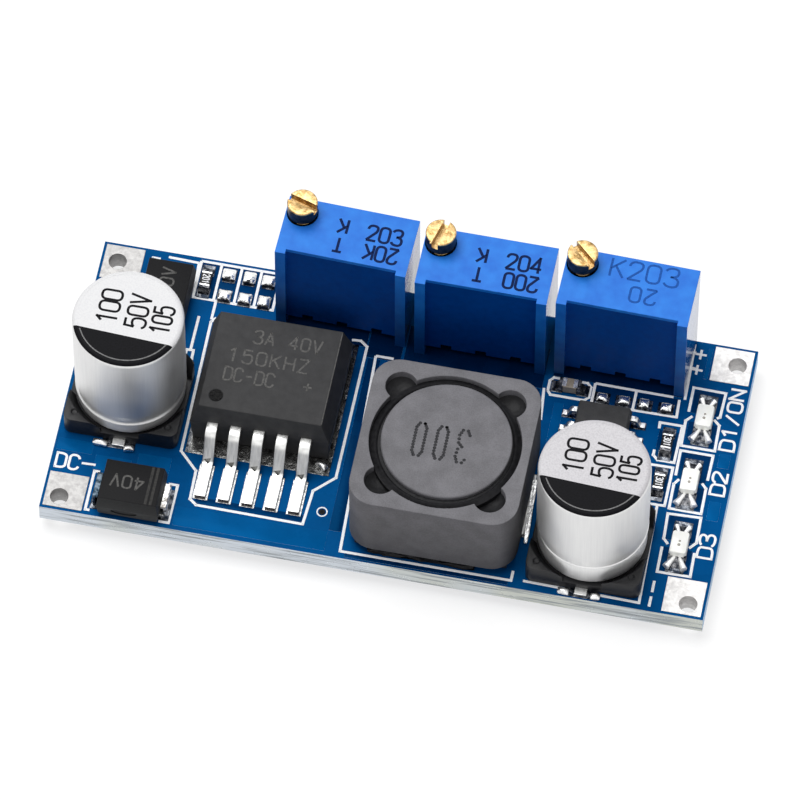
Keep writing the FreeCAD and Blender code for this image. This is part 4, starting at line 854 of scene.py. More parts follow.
def capacitor_base(name, size, floor, post):
    """Moulded base: cut back corners, round front corners, a round well, open ends, dimpled posts."""
    half, opening, deep = size / 2, size - 5.5, 2
    base = cube(name, (size, size, post), (0, 0, post / 2), FINISHES["black_base"])
    shape(base, "EDGE")
    pick_edges(lambda middle, way: upright(middle, way) and middle.y > 0)
    bevel(1.9, 1)
    pick_edges(lambda middle, way: upright(middle, way) and middle.y < 0)
    bevel(0.6, 4)
    done()
    middle = (0, 0, floor + deep / 2)
    carve(base, rod(half - 0.14, deep, middle, 72))
    carve(base, cone(half - 0.16, half + 0.5, post - floor + 0.02, (0, 0, (post + floor + 0.02) / 2), 72))
    carve(base, cube("gap", (opening, size + 1, deep), middle))
    carve(base, cube("gap", (size + 1, opening, deep), middle))
    for across in SIDES:
        carve(base, cone(0.18, 0.36, 0.3, (across * (half - 0.75), 0.75 - half, post)))
    return tidy_mesh(round_off(base, 0.08, 3), 40)


def capacitor(end, bead, groove, top_ink):
    """Can, base and top print at one end of the board; bead is its height, groove its depth."""
    low, high = corners(end + "_capacitor_can")
    centre, radius = (low + high) / 2, (high.x - low.x) / 2
    foot = low.z - CAN_SUNK
    shell = can_shell(end + "_can_shell", radius, high.z - foot, bead, groove)
    fixed(put(shell, centre.x, centre.y, foot), stands_for=[end + "_capacitor_can"])

    base_low, base_high = corners(end + "_capacitor_base")
    size = base_high - base_low
    base = capacitor_base(end + "_moulded_base", size.x, foot - base_low.z, size.z)
    fixed(put(base, centre.x, centre.y, base_low.z), stands_for=[end + "_capacitor_base"])

    name = end + "_can_"
    marks = [
        (0, flat_disc(name + "white_top", radius - 0.37, 0.01, top_ink)),
        (0.01, rim_mark(name + "white_rim", radius, top_ink, False)),
        (0, flat_disc(name + "black_mark", radius - RIM, 0.014, BLACK_INK, CHORD)),
        (0, rim_mark(name + "black_rim", radius, BLACK_INK, True)),
    ]
    for rise, mark in marks:
        fixed(put(mark, centre.x, centre.y, high.z + rise))
    # painted highlight: a grey arc where the rim catches the light
    rim_highlight_arc = [("curve", *arc((0, 0), radius - 0.47, 205, 332, 14))]
    printed(name + "rim_line", rim_highlight_arc, 0.09, RIM_HIGHLIGHT, INK_RISE, (centre.x, centre.y, high.z + 0.014))
    rows = rows_of_words(CAN_ROWS, 90)
    printed(name + "rating", rows, 0.19, BLACK_INK, INK_RISE, (centre.x, centre.y, high.z + 0.01))


capacitor("input", 1.2, 0.14, WHITE_TOP)
# the output can's top is the white top's copy, darkened as painted shade
capacitor("output", 2.12, 0.05, SHADED_WHITE_TOP)


# Inductor

BORE, LOBE, LOBE_PLACE = 5.42, 1.15, 3.92  # radii of the shield's opening and its lobes, and their place
CORE_SHIFT = (0.06, 0.14)  # the drum core isn't quite in the middle of the shield
SHIELD_LOW, SHIELD_HIGH = corners("inductor_shield")
CORE_LOW, CORE_HIGH = corners("inductor_core")
MIDDLE = (SHIELD_LOW + SHIELD_HIGH) / 2
CORE_RADIUS = (CORE_HIGH.x - CORE_LOW.x) / 2

# Corner points of the dotted figures, on the letters' field.
DOTTED = {
    "3": [(0.2, 5.4), (1, 6), (3, 6), (4, 5), (3.6, 3.6), (2.2, 3.1), (3.8, 2.4), (4, 1), (3, 0), (1, 0),
          (0, 0.8)],
    "0": [(1, 0), (0, 0.8), (0, 5.2), (1, 6), (3, 6), (4, 5.2), (4, 0.8), (3, 0), (1, 0)],
}
FIGURE_WIDE, FIGURE_HIGH, FIGURE_PITCH = 0.72, 2.65, 1.55
DOT_SIZE, DOT_SPACING = 0.27, 0.25


def shield():
    """Ferrite block with round corners, a bore and four lobes."""
    size = SHIELD_HIGH - SHIELD_LOW
    block = cube("inductor_shield_block", size, (0, 0, size.z / 2), FINISHES["ferrite"])
    shape(block, "EDGE")
    pick_edges(upright)
    bevel(1.9, 8)
    done()
    through = 3 * size.z
    carve(block, rod(BORE, through, sides=96))
    for across, along in CORNERS:
        carve(block, rod(LOBE, through, (across * LOBE_PLACE, along * LOBE_PLACE, 0)))
    tidy_mesh(round_off(block, 0.2, 3, 50), 30)
    fixed(put(block, MIDDLE.x, MIDDLE.y, SHIELD_LOW.z), stands_for=["inductor_shield"])


def drum_core():
    """Ferrite drum with two flanges and a rounded top edge."""
    tall, flange, neck, edge = CORE_HIGH.z - CORE_LOW.z, 1.2, 2.2, 0.16
    profile = [(0, 0), (CORE_RADIUS, 0), (CORE_RADIUS, flange), (neck, flange), (neck, tall - flange)]
    profile += [(CORE_RADIUS, tall - flange), (CORE_RADIUS, tall - 0.2)]
    profile += [*arc((CORE_RADIUS - edge, tall - edge), edge, 0, 90, 4), (0, tall)]
    core = turned("inductor_drum_core", profile, FINISHES["ferrite"])
    put(core, MIDDLE.x + CORE_SHIFT[0], MIDDLE.y + CORE_SHIFT[1], CORE_LOW.z)
    fixed(core, stands_for=["inductor_core"])


def potting():
    """A raised ring against the drum, and lower pools in the four lobes."""
    inner, deep = CORE_RADIUS - 0.3, -1.9
    profile = [(inner, deep), (5.4, deep), (5.4, -0.5), (5.2, -0.42), (5.08, -0.3), (4.98, -0.24)]
    profile += [(4.88, -0.3), (4.8, -0.42), (inner, -0.42), (inner, deep)]
    pieces = [turned("ring", profile, FINISHES["glue"])]
    for across, along in CORNERS:
        pool = rod(LOBE - 0.01, 1.2, (across * LOBE_PLACE, along * LOBE_PLACE, -1.25))
        shape(pool)
        pick_faces(facing_up)
        bpy.ops.mesh.inset(thickness=0.35 * MM)
        move(0, 0, -0.3)
        done()
        pieces.append(tidy_mesh(pool, 60))
    glue = joined("inductor_potting", pieces, FINISHES["glue"])
    fixed(put(glue, MIDDLE.x, MIDDLE.y, SHIELD_HIGH.z), stands_for=["inductor_glue"])


def dots(name, lines, finish):
    """Dotted print: small flat dots set along the lines."""
    dot = disc(DOT_SIZE / 2, 8)
    shape(dot, whole=True)
    extrude(0, 0, 0.012)
    resize((0.7, 0.7, 1), (0, 0, 0))
    done()
    tidy_mesh(dot)
    places = []
    for points in lines:
        for start, end in zip(points, points[1:]):
            count = max(1, round(math.dist(start, end) / DOT_SPACING))
            places += [Vector(start).lerp(Vector(end), index / count) for index in range(count)]
        places.append(points[-1])
    placed = []
    for x, y in places:
        placed.append(copied(dot, "dot"))
        placed[-1].location = mm(x, y, 0)
    bpy.data.objects.remove(dot)
    return fix_place(joined(name, placed, finish))


def inductor_value():
    """The dotted figures on the drum's top, which read from the back of the board."""
    lines = [[(index * FIGURE_PITCH + x / FIELD_WIDE * FIGURE_WIDE, y / FIELD_HIGH * FIGURE_HIGH)
              for x, y in DOTTED[figure]] for index, figure in enumerate("300")]
    value = dots("inductor_value", lines, DOT_MARK)
    fixed(put(value, MIDDLE.x + 1.6, MIDDLE.y + 1.2, CORE_HIGH.z + 0.002, 180))


def cement_and_shade_under_shield():
    """A black bead under the shield's front wall: squeezed-out glue, and painted shade in the gap under the
    wall.
    """
    # partly painted shade in the gap under the shield's front wall
    bead = cube("cement_and_shade_under_shield", (7.6, 0.6, 0.5), (0, 0, 0.25), FINISHES["glue"])
    shape(bead, whole=True)
    bpy.ops.mesh.subdivide(number_cuts=9, smoothness=0.0)
    bpy.ops.transform.vertex_random(offset=0.2 * MM, seed=4)
    done()
    tidy_mesh(bead, 80)
    fixed(put(bead, MIDDLE.x - 0.6, SHIELD_LOW.y + 0.42, BOARD_TOP + 0.02))


def clip_solder():
    """Solder along the right clip, drawn out to a thin front end."""
    long, thick = 5.2, 0.26
    strip = cube("inductor_solder", (0.36, long, thick), (0, 0, thick / 2), BRIGHT_SOLDER)
    shape(strip, whole=True)
    bpy.ops.mesh.subdivide(number_cuts=5)
    bpy.ops.transform.vertex_random(offset=0.03 * MM, seed=2)
    pick_faces(lambda middle, normal: normal.y < -0.8)
    resize((0.6, 1, 0.7), (0.06, -long / 2, 0))
    done()
    round_off(tidy_mesh(strip, 60), 0.05, 2, 50)
    fixed(put(strip, 10.4, -5.05, BOARD_TOP + 0.06, 2.8))


shield()
drum_core()
potting()
inductor_value()
cement_and_shade_under_shield()
clip_solder()


# Regulator leads

LEAD_THICK = 0.4
SLOPE = math.radians(72)  # how steeply a lead goes down
BEND, LOW_BEND = 0.62, 0.4  # radii of a lead's middle line at its knee and at its heel


def lead_strip(name, path, width):
    """A flat strip that is drawn along a side view of (y, z) points, then given its thickness."""
    strip = named(small_plane(), name, FINISHES["lead_tin"])
    (start, height), (end, _) = path[:2]
    strip.scale = (width, start - end, 1)
    strip.location = mm(0, (start + end) / 2, height)
    fix_place(strip)
    shape(strip, "EDGE")
    pick_edges(lambda middle, way: abs(way.x) > 0.9 and middle.y < (start + end) / 2)
    for before, after in zip(path[1:], path[2:]):
        extrude(0, after[0] - before[0], after[1] - before[1])
    done()
    modified(strip, "SOLIDIFY", thickness=LEAD_THICK * MM, offset=0, use_even_offset=True)
    return tidy_mesh(round_off(strip, 0.05, 2, 60))


def regulator_lead():
    """A formed lead with a tool mark at its heel, painted dark as shade in the pit, and a dull cut end."""
    low, high = corners("regulator_lead_1")
    top, foot = high.z - LEAD_THICK / 2, low.z + LEAD_THICK / 2
    knee = high.y - 1.45
    heel = knee - (top - foot) / math.tan(SLOPE) - 0.3
    angles = [SLOPE * index / 6 for index in range(7)]
    upper, lower = knee + BEND * math.tan(SLOPE / 2), heel - LOW_BEND * math.tan(SLOPE / 2)
    path = [(high.y, top)]
    path += [(upper - BEND * math.sin(a), top - BEND * (1 - math.cos(a))) for a in angles]
    path += [(lower + LOW_BEND * math.sin(a), foot + LOW_BEND * (1 - math.cos(a))) for a in reversed(angles)]
    path += [(low.y, foot)]
    lead = lead_strip("regulator_lead", path, high.x - low.x)
    lead.data.materials.append(LEAD_PIT_SHADE)
    lead.data.materials.append(CUT_END)
    # painted shade: the pit's faces take the dark finish
    pit = cone(0.08, 0.36, 0.4, (0, heel - 0.18, low.z + LEAD_THICK + 0.11), 3, -20, 60)
    carve(lead, named(pit, "pit", LEAD_PIT_SHADE), material_mode="TRANSFER")
    shape(lead)
    pick_faces(lambda middle, normal: normal.y < -0.8 and middle.y < low.y + 0.06)
    give_finish(CUT_END)
    done()
    return lead


pattern = regulator_lead()
for number in range(1, 6):
    name = "regulator_lead_%d" % number
    low, high = corners(name)
    lead = put(copied(pattern, "formed_" + name), (low.x + high.x) / 2)
    fixed(lead, stands_for=[name])
bpy.data.objects.remove(pattern)


# Trimmer screws

HEAD, NECK, SHANK = 1.095, 0.6, 0.7  # radii
SLOT_WIDE, SLOT_DEEP = 0.48, 0.65


def burr(tall, slot_turn):
    """Metal that the slot cutter pushed out at one end of the slot."""
    bpy.ops.object.select_all(action="DESELECT")
    bpy.ops.mesh.primitive_ico_sphere_add(subdivisions=3, radius=0.13 * MM)
    piece = named(bpy.context.object, "burr", FINISHES["screw_brass"])
    piece.scale = (1.5, 0.8, 0.6)
    return put(put(piece, HEAD - 0.1, -0.3, tall - 0.082), turn=slot_turn)


def screw(number, slot_turn, burr_turn):
    """Brass adjusting screw whose head's side and the parts below it are painted dark as shade, and a slot at
    an angle in degrees.
    """
    low, high = corners("trimmer_%d_screw" % number)
    centre, tall = (low + high) / 2, high.z - low.z
    profile = [(0, 0), (SHANK - 0.1, 0), (SHANK, 0.1), (SHANK, tall - 2.02), (NECK, tall - 1.96)]
    profile += [(NECK, tall - 1.38), (HEAD - 0.12, tall - 1.36), (HEAD - 0.02, tall - 1.26)]
    profile += [(HEAD, tall - 0.16), *arc((HEAD - 0.1, tall - 0.1), 0.1, 10, 90, 4), (0, tall)]
    piece = turned("screw", profile, FINISHES["screw_brass"], 64)
    # painted shade on the head's side and below it
    piece.data.materials.append(SCREW_SIDE_SHADE)
    shape(piece)
    pick_faces(lambda middle, normal: normal.z < 0.3 and middle.z < tall - 0.15)
    give_finish(SCREW_SIDE_SHADE)
    done()
    carve(piece, put(cube("slot", (3, SLOT_WIDE, 2 * SLOT_DEEP), (0, 0, tall)), turn=slot_turn))
    round_off(piece, 0.04, 2, 50)
    piece = joined("adjuster_%d_screw" % number, [piece, burr(tall, burr_turn)])
    put(tidy_mesh(piece, 30), centre.x, centre.y, low.z)
    fixed(piece, "adjuster_%d" % number, ["trimmer_%d_screw" % number])


screw(1, -17, -17)
screw(2, 75, 255)
screw(3, -43, -43)


# Diodes

DIODE_ROWS = [("40V", -0.83, -0.5, 1.0, 0.6, 0.85)]
PARTING = 1.0  # height of the edge where the two halves of a moulding meet


def diode_body(name):
    """Moulded body with drafted halves, a parting edge and an oval mark in its front face."""
    low, high = corners("catch_diode_body")
    size = high - low
    body = cube(name, size, (0, 0, size.z / 2), DIODE_EPOXY)
    shape(body, whole=True)
    slice_off((0, 0, PARTING), (0, 0, 1))
    for way, height, draft in ((1, size.z, 0.16), (-1, 0, 0.1)):
        pick_faces(lambda middle, normal: normal.z * way > 0.9)
        resize((1 - 2 * draft / size.x, 1 - 2 * draft / size.y, 1), (0, 0, height))
    done()
    oval = rod(0.95, 0.3, (-0.25, -size.y / 2, 0.62), 32, 90)
    oval.scale = (1, 0.34, 1)
    carve(body, fix_place(oval))
    return tidy_mesh(round_off(body, 0.07, 3, 30), 40)


def thin_bars(name, size, places, finish):
    """Flat printed or plated bars of one size."""
    return joined(name, [round_off(cube("bar", size, place, finish), 0.004, 1) for place in places])


def diode(node, turn, mark_turn):
    """Moulding with a pale double band at one end and a rating, each turned by an angle in degrees."""
    low, high = corners(node + "_body")
    centre = (low + high) / 2
    body = put(diode_body(node + "_moulding"), centre.x, centre.y, low.z, turn)
    fixed(body, stands_for=[node + "_body"])
    band = thin_bars(node + "_band", (0.2, 3.1, 0.012), ((1.3, 0, 0), (1.66, 0, 0)), DIODE_BAND)
    fixed(put(band, centre.x, centre.y, high.z, turn))
    place = (centre.x, centre.y, high.z + 0.003)
    printed(node + "_rating", rows_of_words(DIODE_ROWS), 0.14, LASER_MARK, LASER_RISE, place, mark_turn)


diode("catch_diode", 0, 180)
diode("input_diode", -90, 90)


# Lamps

CHIP_SPOTS = [(0.02, 0.08, 0.18), (0.0, -0.24, 0.22)]  # place and width of what shows inside a lens


def lamp_lens(number):
    """Milky block with notched corners, and a small chip and a bond pad seen inside its top."""
    low, high = corners("led_%d_lens" % number)
    base_low, base_high = corners("led_%d_terminals" % number)
    centre = (low + high) / 2
    size = Vector((base_high.x - base_low.x + 0.04, 1.92, high.z - low.z))
    lens = cube("led_%d_milky_lens" % number, size, (0, 0, size.z / 2), FINISHES["lamp_lens"])
    shape(lens)
    pick_faces(facing_up)
    resize((0.9, 0.93, 1), (0, 0, size.z))
    done()
    for across, along in CORNERS:
        carve(lens, rod(0.17, 3, (across * size.x / 2, along * size.y / 2, 0), 20))
    tidy_mesh(round_off(lens, 0.05, 3, 30), 40)
    fixed(put(lens, centre.x, centre.y, low.z), stands_for=["led_%d_lens" % number])
    for index, (x, y, wide) in enumerate(CHIP_SPOTS):
        spot = flat_disc("led_%d_chip_%d" % (number, index + 1), wide / 2, 0.006, LAMP_CHIP)
        fixed(put(spot, centre.x + x, centre.y + y, high.z - 0.002))


def lamp_solder(number):
    """Two bright ridges of solder that run out from each end of a lamp to its land."""
    low, high = corners("led_%d_terminals" % number)
    centre = (low + high) / 2
    ridges = []
    for end, size in ((-1, 1.1), (1, 0.8)):
        for across in SIDES:
            ridge = named(cone(0.1, 0.25, 1.0, sides=12), "ridge", LAMP_SOLDER)
            ridge.scale = (size, size, size)
            ridges.append(put(ridge, across * 0.36 * size, end * (0.93 + 0.4 * size), 0.06,
                              -27 * across * end, -90 * end))
    solder = joined("led_%d_solder" % number, ridges)
    put(tidy_mesh(solder, 60), centre.x, centre.y, BOARD_TOP + 0.22)
    shape(solder, whole=True)
    slice_off((0, 0, BOARD_TOP + 0.03), (0, 0, 1), clear_inner=True, use_fill=True)
    done()
    fixed(tidy_mesh(solder, 60))


for number in NUMBERS:
    lamp_lens(number)
    lamp_solder(number)


# Solder on the empty lands and beside the parts

PILLOW = (0.98, 0.9, 0.34)
DOME_TURNS = (0, 180, 90)
LAND_SPOTS = [(x, y, 1) for x in (-14.6, -13.07, -11.67) for y in (10.13, 8.35)]
LAND_SPOTS += [(13.69, 5.22, 0.8), (15.28, 5.28, 0.8), (16.73, 5.31, 0.8), (18.34, 5.29, 0.8)]
# Place, turn and size of each dome beside a part.
BESIDE = [(-4.9, -4.2, -30, 1), (-20.8, -5.4, -4, 1.15), (-18.7, -5.5, 10, 0.8),
          (13.9, -10.98, -3, 0.9), (16.2, -10.98, 4, 0.75)]


def solder_pillow():
    """A low solder dome with rounded sides."""
    wide, long, thick = PILLOW
    pillow = cube("pillow", PILLOW, (0, 0, 0), LAND_SOLDER)
    shape(pillow, whole=True)
    bpy.ops.mesh.subdivide(number_cuts=3)
    pick_faces(lambda middle, normal: facing_up(middle, normal) and abs(middle.x) < wide * 0.3
               and abs(middle.y) < long * 0.3)
    move(0, 0, thick / 2)
    done()
    modified(pillow, "SUBSURF", levels=2, render_levels=2)
    return tidy_mesh(pillow, 80)


pillow = solder_pillow()
for index, (x, y, size) in enumerate(LAND_SPOTS):
    dome = copied(pillow, "land_solder_%d" % (index + 1))
    dome.scale = (size, size, size)
    fixed(put(dome, x, y, BOARD_TOP + 0.16, DOME_TURNS[index % 3]))
for index, (x, y, turn, size) in enumerate(BESIDE):
    dome = named(copied(pillow, "dome"), "part_solder_%d" % (index + 1), BRIGHT_SOLDER)
    dome.scale = (0.95 * size, 0.5, 0.8)
    fixed(put(dome, x, y, BOARD_TOP + 0.2, turn))
bpy.data.objects.remove(pillow)


# Printed marks on the parts

# For each printed trimmer: its corner and turn on the board, and the value that reads from each side.
TRIMMER_PRINTS = [(1, (-10.52, 7.01), -1.81, "203", "20K"), (2, (-0.26, 6.41), -0.17, "204", "200")]
REGULATOR_ROWS = [
    ("3A 40V", -1.7, 1.83, 1.05, 0.6, 0.86), ("150KHZ", -3.2, 0.05, 1.1, 0.68, 1.02),
    ("DC-DC", -3.2, -1.55, 1.1, 0.56, 0.76), ("+", 2.5, -1.6, 1.1, 0.7),
]
REGULATOR_PRINT = (-9.5, 0.55)
PIN_MARK = (-12.91, -2.375)
CHIP_VALUES = [("201", -16.15, 9.33), ("301", 18.92, 2.4), ("301", 18.95, -0.97)]

for number, corner, turn, upper, lower in TRIMMER_PRINTS:
    lines = words(upper, 6.1, 2.45, 1.25, 0.68, 0.9)
    lines += rows_of_words([(lower, 8.6, 2.1, 1.25, 0.66, 0.88), ("K", 4.6, 3.75, 1.15, 0.66),
                            ("T", 4.6, 2.16, 1.15, 0.66)], 180)
    place = (*corner, top_of("trimmer_%d_housing" % number) + 0.006)
    printed("trimmer_%d_print" % number, lines, 0.2, NAVY_INK, 0.01, place, turn)
lines = words("K203", 3.25, 3.05, 1.5, 0.95, 1.3) + words("20", 6.85, 2.5, 1.25, 0.75, 1.1, 180)
place = (9.88, 6.69, top_of("trimmer_3_housing") + 0.006)
printed("trimmer_3_print", lines, 0.17, ENGRAVED, 0.01, place, -1.14)

regulator_top = corners("regulator_body")[1].z
lines = rows_of_words(REGULATOR_ROWS)
printed("regulator_rating", lines, 0.14, LASER_MARK, LASER_RISE, (*REGULATOR_PRINT, regulator_top + 0.004))
# painted highlight: a pale line where the body's top right edge catches the light
painted_edge_highlight = [("line", (-5.08, -3.3), (-5.08, 4.4))]
printed("regulator_painted_edge_highlight", painted_edge_highlight, 0.07, LASER_MARK, LASER_RISE, (0, 0, regulator_top - 0.004))
# painted shade: a dark disc on the floor of the pin-1 dimple
pin_mark = flat_disc("regulator_pin_dimple_shade", 0.46, 0.01, PIT_SHADE)
fixed(put(pin_mark, *PIN_MARK, regulator_top - 0.06))

chip_top = top_of("chip_resistors")
for number, (text, x, y) in zip(NUMBERS, CHIP_VALUES):
    lines = words(text, -0.33, -0.24, 0.48, 0.17, 0.26)
    place = (x + 0.02, y, chip_top + 0.004)
    printed("chip_value_%d" % number, lines, 0.075, WHITE_INK, 0.006, place, -90)
    spots = ((0, -0.52, 0), (0, 0.52, 0))
    ends = thin_bars("chip_end_%d" % number, (0.72, 0.13, 0.012), spots, BRIGHT_SOLDER)
    fixed(put(ends, x, y, chip_top + 0.002))

low, high = corners("chip_capacitor")
middle = (low.y + high.y) / 2
ends = thin_bars("chip_capacitor_ends", (0.3, high.y - low.y - 0.1, 0.012),
                 ((low.x + 0.1, middle, 0), (high.x - 0.1, middle, 0)), BRIGHT_SOLDER)
fixed(put(ends, z=high.z + 0.01))


# White legend on the board

MASK_THICK = 0.024  # thickness of the mask areas below, half of it above the board
LEGEND_HEIGHT = BOARD_TOP + MASK_THICK / 2 + INK_RISE
OUTLINES = [
    [(-14.8, 6.5), (-15.1, 6.1), (-15.0, -4.86), (-13.63, -6.27), (-13.57, -8.62), (-13.05, -9.02),
     (-5.3, -9.1), (-5.11, -6.27), (-3.72, -4.9), (-3.67, 6.22), (-4.2, 6.63), (-4.85, 6.58)],
    [(-15.11, 6.3), (-15.11, 7.9)],
    [(10.94, -10.61), (19.32, -10.78), (19.15, -2.7)],
    [(-2.9, 5.6), (-2.25, -10.75), (10.1, -10.75), (10.1, -9.95)],
    [(-2.9, 5.6), (-1.6, 5.6)],
    [(9.45, 5.3), (9.7, 2.65)],
    [(-20.3, 9.4), (-20.3, 10.6), (-19.75, 10.6)],
    [(-19.2, 10.87), (-16.95, 10.8), (-16.8, 7.9)],
    [(-16.8, 11.0), (-16.8, 7.9), (-10.95, 7.9), (-10.95, 11.0), (-16.8, 11.0)],
    *([(x, 7.9), (x, 11.0)] for x in (-15.3, -13.8, -12.35)),
    [(9.75, 5.15), (10.0, 4.85), (12.45, 4.85), (12.75, 5.15), (12.75, 6.0), (12.45, 6.3),
     (10.0, 6.3), (9.75, 6.0), (9.75, 5.15)],
    [(13.0, 6.4), (13.0, 4.7), (19.2, 4.75), (19.15, 6.2)],
    [(13.0, 6.4), (18.7, 6.35)],
    [(16.0, 4.75), (16.0, 6.4)],
    [(18.15, 3.6), (18.12, 4.1), (19.75, 4.1), (19.7, 1.0), (18.5, 1.0), (18.13, 1.35), (18.13, 1.8)],
    [(18.12, 0.55), (19.7, 0.58), (19.67, -2.63), (18.6, -2.65)],
    [(19.43, 11.0), (19.53, 6.3)],
    [(19.98, 5.37), (19.97, 7.42), (22.33, 7.38), (22.26, 5.34), (22.05, 5.2)],
    [(20.3, 5.05), (19.9, 4.6), (19.94, 2.5), (22.38, 2.5), (22.33, 4.65), (21.88, 5.05)],
    [(20.0, 0.0), (19.98, 2.1), (22.34, 2.1), (22.31, 0.0)],
    [(20.3, -0.27), (20.0, -0.72), (20.02, -2.76), (22.34, -2.78), (22.32, -0.68), (21.97, -0.3)],
    [(20.47, -5.66), (20.1, -5.27), (20.02, -3.2), (22.4, -3.1), (22.44, -5.2), (22.0, -5.72)],
    [(20.1, -5.95), (20.12, -8.03), (22.5, -8.0), (22.45, -6.03)],
    [(-20.32, -7.68), (-20.72, -7.68), (-20.72, -10.9), (-20.4, -10.9)],
    [(-15.3, -7.7), (-14.66, -7.7), (-14.68, -10.85), (-15.4, -10.85)],
    [(20.07, -8.81), (20.07, -9.75)],
    [(20.07, -10.1), (20.07, -10.94)],
    [(-16.05, 6.4), (-16.07, 3.5)],
    [(-16.35, 2.5), (-16.35, 3.5), (-15.86, 3.52), (-15.82, 2.5)],
]
LAMP_NAMES = [("D1/ON", 23.7, 2.72, 1.05, 0.82, 1.07), ("D2", 23.66, -1.04, 1.03, 0.85, 1.02),
              ("D3", 23.7, -6.3, 1.06, 0.85, 1.04)]
PLUS_MARKS = [(19.99, 10.23), (19.93, 8.92), (19.22, 10.33), (19.41, 9.01)]

lines = words("DC", -23.6, -7.83, 1.15, 0.7, 0.95) + [("line", (-21.75, -7.22), (-20.75, -7.18))]
lines += rows_of_words(LAMP_NAMES, 90)
for x, y in PLUS_MARKS:
    lines += [("line", (x - 0.42, y), (x + 0.42, y)), ("line", (x, y - 0.4), (x, y + 0.4))]
outlines = [("line", *points) for points in OUTLINES]
printed("board_outlines", outlines, 0.2, WHITE_INK, INK_RISE, (0, 0, LEGEND_HEIGHT))
printed("board_words", lines, 0.18, WHITE_INK, INK_RISE, (0, 0, LEGEND_HEIGHT))


# Areas of the mask: paler over copper; darker over bare laminate and as painted shade between tall parts;
# painted shade at the trimmers' feet

MASK_AREAS = {
    "copper": (COPPER_MASK, [
        (-20.9, -7.5, -18.3, -6.3), (-17.9, -7.1, -15.5, -5.6), (-14.4, -10.95, -3.4, -9.35),
        (-23.8, -6.4, -21.2, -5.4), (22.75, -3.2, 23.6, -1.6), (22.75, 1.2, 23.6, 2.4),
        (20.5, 8.3, 20.8, 10.9), (10.4, -1.9, 11.1, 4.3),
    ]),
    # darker mask over bare laminate, partly painted shade between tall parts and under the inductor's front
    "bare_and_shade": (BARE_AND_SHADE_MASK, [
        (-3.4, -9.2, -2.5, 5.3), (-13.2, -8.95, -5.4, -8.35), (-1.4, 1.9, 9.2, 5.2),
        (20.15, 2.65, 22.2, 4.6), (20.15, 5.35, 22.2, 7.25), (20.15, -2.6, 22.2, -0.7),
        (20.15, -0.3, 22.2, 2.0), (20.2, -7.9, 22.3, -5.9), (20.2, -5.3, 22.3, -3.3),
        (-1.9, -11.15, 9.9, -10.86), (18.2, 1.1, 19.6, 3.5), (18.2, -2.5, 19.55, 0.4),
        (-15.2, 8.05, -11.05, 10.9), (-16.7, 8.05, -15.4, 10.9), (13.1, 4.85, 15.9, 6.3),
        (16.1, 4.85, 19.1, 6.25),
    ]),
    # painted shade at the trimmers' feet
    "shaded": (SHADED_MASK, [
        (-10.4, 6.2, -3.7, 9.0), (-3.6, 5.4, -1.1, 8.8), (-0.9, 5.24, 9.3, 8.6), (9.9, 6.44, 19.3, 8.8),
    ]),
}


def mask_area(name, x0, y0, x1, y1, finish):
    """A thin raised patch of mask with round corners, between two corners on the board."""
    area = cube(name, (x1 - x0, y1 - y0, MASK_THICK), ((x0 + x1) / 2, (y0 + y1) / 2, BOARD_TOP), finish)
    shape(area, "EDGE")
    pick_edges(upright)
    bevel(0.04, 2)
    done()
    round_off(area, 0.008, 2, 60)
    fixed(tidy_mesh(area, 40))


for kind, (finish, areas) in MASK_AREAS.items():
    for index, area in enumerate(areas):
        mask_area("mask_%s_%d" % (kind, index + 1), *area, finish)

VIA_X, VIA_Y = -4.14, -7.84
VIA_PROFILE = [(0.31, 0.0), (0.31, 0.03), (0.33, 0.04), (0.38, 0.04), (0.4, 0.03), (0.4, 0.0), (0.31, 0.0)]
# the via's hole is a dark disc, painted shade where the hole goes down
for piece in (turned("via_ring", VIA_PROFILE, WHITE_INK, 32), flat_disc("via_hole_painted_shade", 0.23, 0.03, PIT_SHADE)):
    fixed(put(piece, VIA_X, VIA_Y, BOARD_TOP))


# Camera, floor and light

PHOTO_WIDTH = 800  # pixels
FOCAL_LENGTH = 9409.2  # pixels of the photo
FILM_WIDTH = 36  # millimetres
CAMERA_ANGLES = (11.027, 59.275, 0.138)  # round the part, above the floor and roll, in degrees
CAMERA_DISTANCE = 0.67411
CAMERA_TARGET = Vector((-0.000491, 0.002329, 0.0026))
FLOOR_SIZE = 3
SURROUND = (0.3, 0.3, 0.31)  # the light from all round, which the camera sees as white


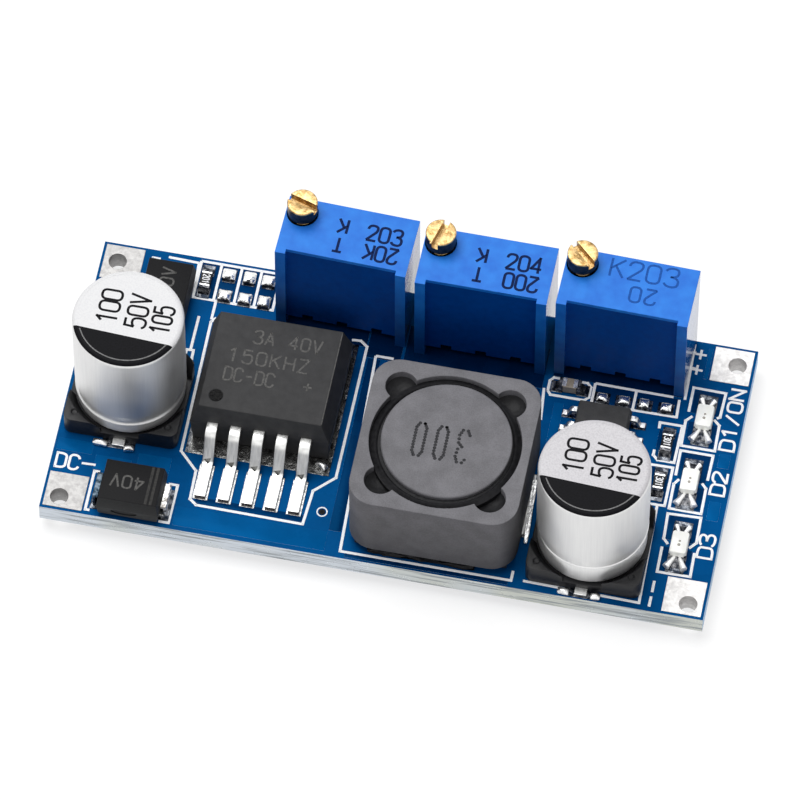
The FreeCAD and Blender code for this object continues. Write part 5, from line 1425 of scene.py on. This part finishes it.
def photo_camera():
    """A camera at the photo's viewing angle."""
    around, above, roll = (math.radians(angle) for angle in CAMERA_ANGLES)
    back = Vector((math.sin(around) * math.cos(above), -math.cos(around) * math.cos(above), math.sin(above)))
    level = Vector((math.cos(around), math.sin(around), 0))
    raised = back.cross(level)
    right = math.cos(roll) * level + math.sin(roll) * raised
    up = -math.sin(roll) * level + math.cos(roll) * raised
    place = CAMERA_TARGET + back * CAMERA_DISTANCE
    bpy.ops.object.camera_add()
    camera = bpy.context.object
    camera.name = "photo_camera"
    camera.matrix_world = Matrix([*zip(right, up, back, place), (0, 0, 0, 1)])
    camera.data.sensor_width = FILM_WIDTH
    camera.data.lens = FOCAL_LENGTH / PHOTO_WIDTH * FILM_WIDTH
    camera.data.clip_start, camera.data.clip_end = 0.01, 20
    bpy.context.scene.camera = camera


def lamp(name, place, aim, size, power):
    """A square soft light at a place, turned to what it is aimed at, in metres."""
    bpy.ops.object.light_add(type="AREA", location=place)
    light = bpy.context.object
    light.name = name
    light.data.shape, light.data.size, light.data.energy = "SQUARE", size, power
    light.rotation_euler = (Vector(place) - Vector(aim)).to_track_quat("Z", "Y").to_euler()


def seen_directly(tree):
    """1 for camera, glossy and transmission rays."""
    path = add_node(tree, "LightPath")
    total = path.outputs["Is Camera Ray"]
    for ray in ("Is Glossy Ray", "Is Transmission Ray"):
        total = add_node(tree, "Math", {0: total, 1: path.outputs[ray]}, operation="MAXIMUM").outputs["Value"]
    return total


def studio_light():
    """Pale light from all round and two soft lamps."""
    world = bpy.data.worlds.new("studio")
    bpy.context.scene.world = world
    world.use_nodes = True
    tree = world.node_tree
    inputs = {"Factor": seen_directly(tree), 6: SURROUND, 7: (1, 1, 1)}
    feed(tree.nodes["Background"].inputs["Color"], add_node(tree, "Mix", inputs, data_type="RGBA").outputs[2])
    lamp("overhead_lamp", (-0.15, 0.12, 0.62), (0, 0, 0), 0.45, 2.9)
    lamp("front_lamp", (0.05, -0.6, 0.3), (0, 0, 0.005), 0.4, 0.35)


def pale_floor():
    """Floor that looks white and keeps the part's shadow."""
    bpy.ops.object.select_all(action="DESELECT")
    bpy.ops.mesh.primitive_plane_add(size=FLOOR_SIZE)
    floor = bpy.context.object
    finish = Finish("pale_floor", (0.4, 0.4, 0.4), 0.9, Emission_Color=(1, 1, 1))
    cloud = finish.noise(40.0, 2.0)
    finish.tint(finish.mottle(cloud, 0.3, 0.7, (0.39, 0.39, 0.39), (0.41, 0.41, 0.41)))
    finish.give("Emission Strength", finish.sums("MULTIPLY", seen_directly(finish.tree), 0.7))
    named(floor, "pale_floor", finish.material)


photo_camera()
studio_light()
pale_floor()
bpy.context.scene.view_settings.view_transform = "Standard"
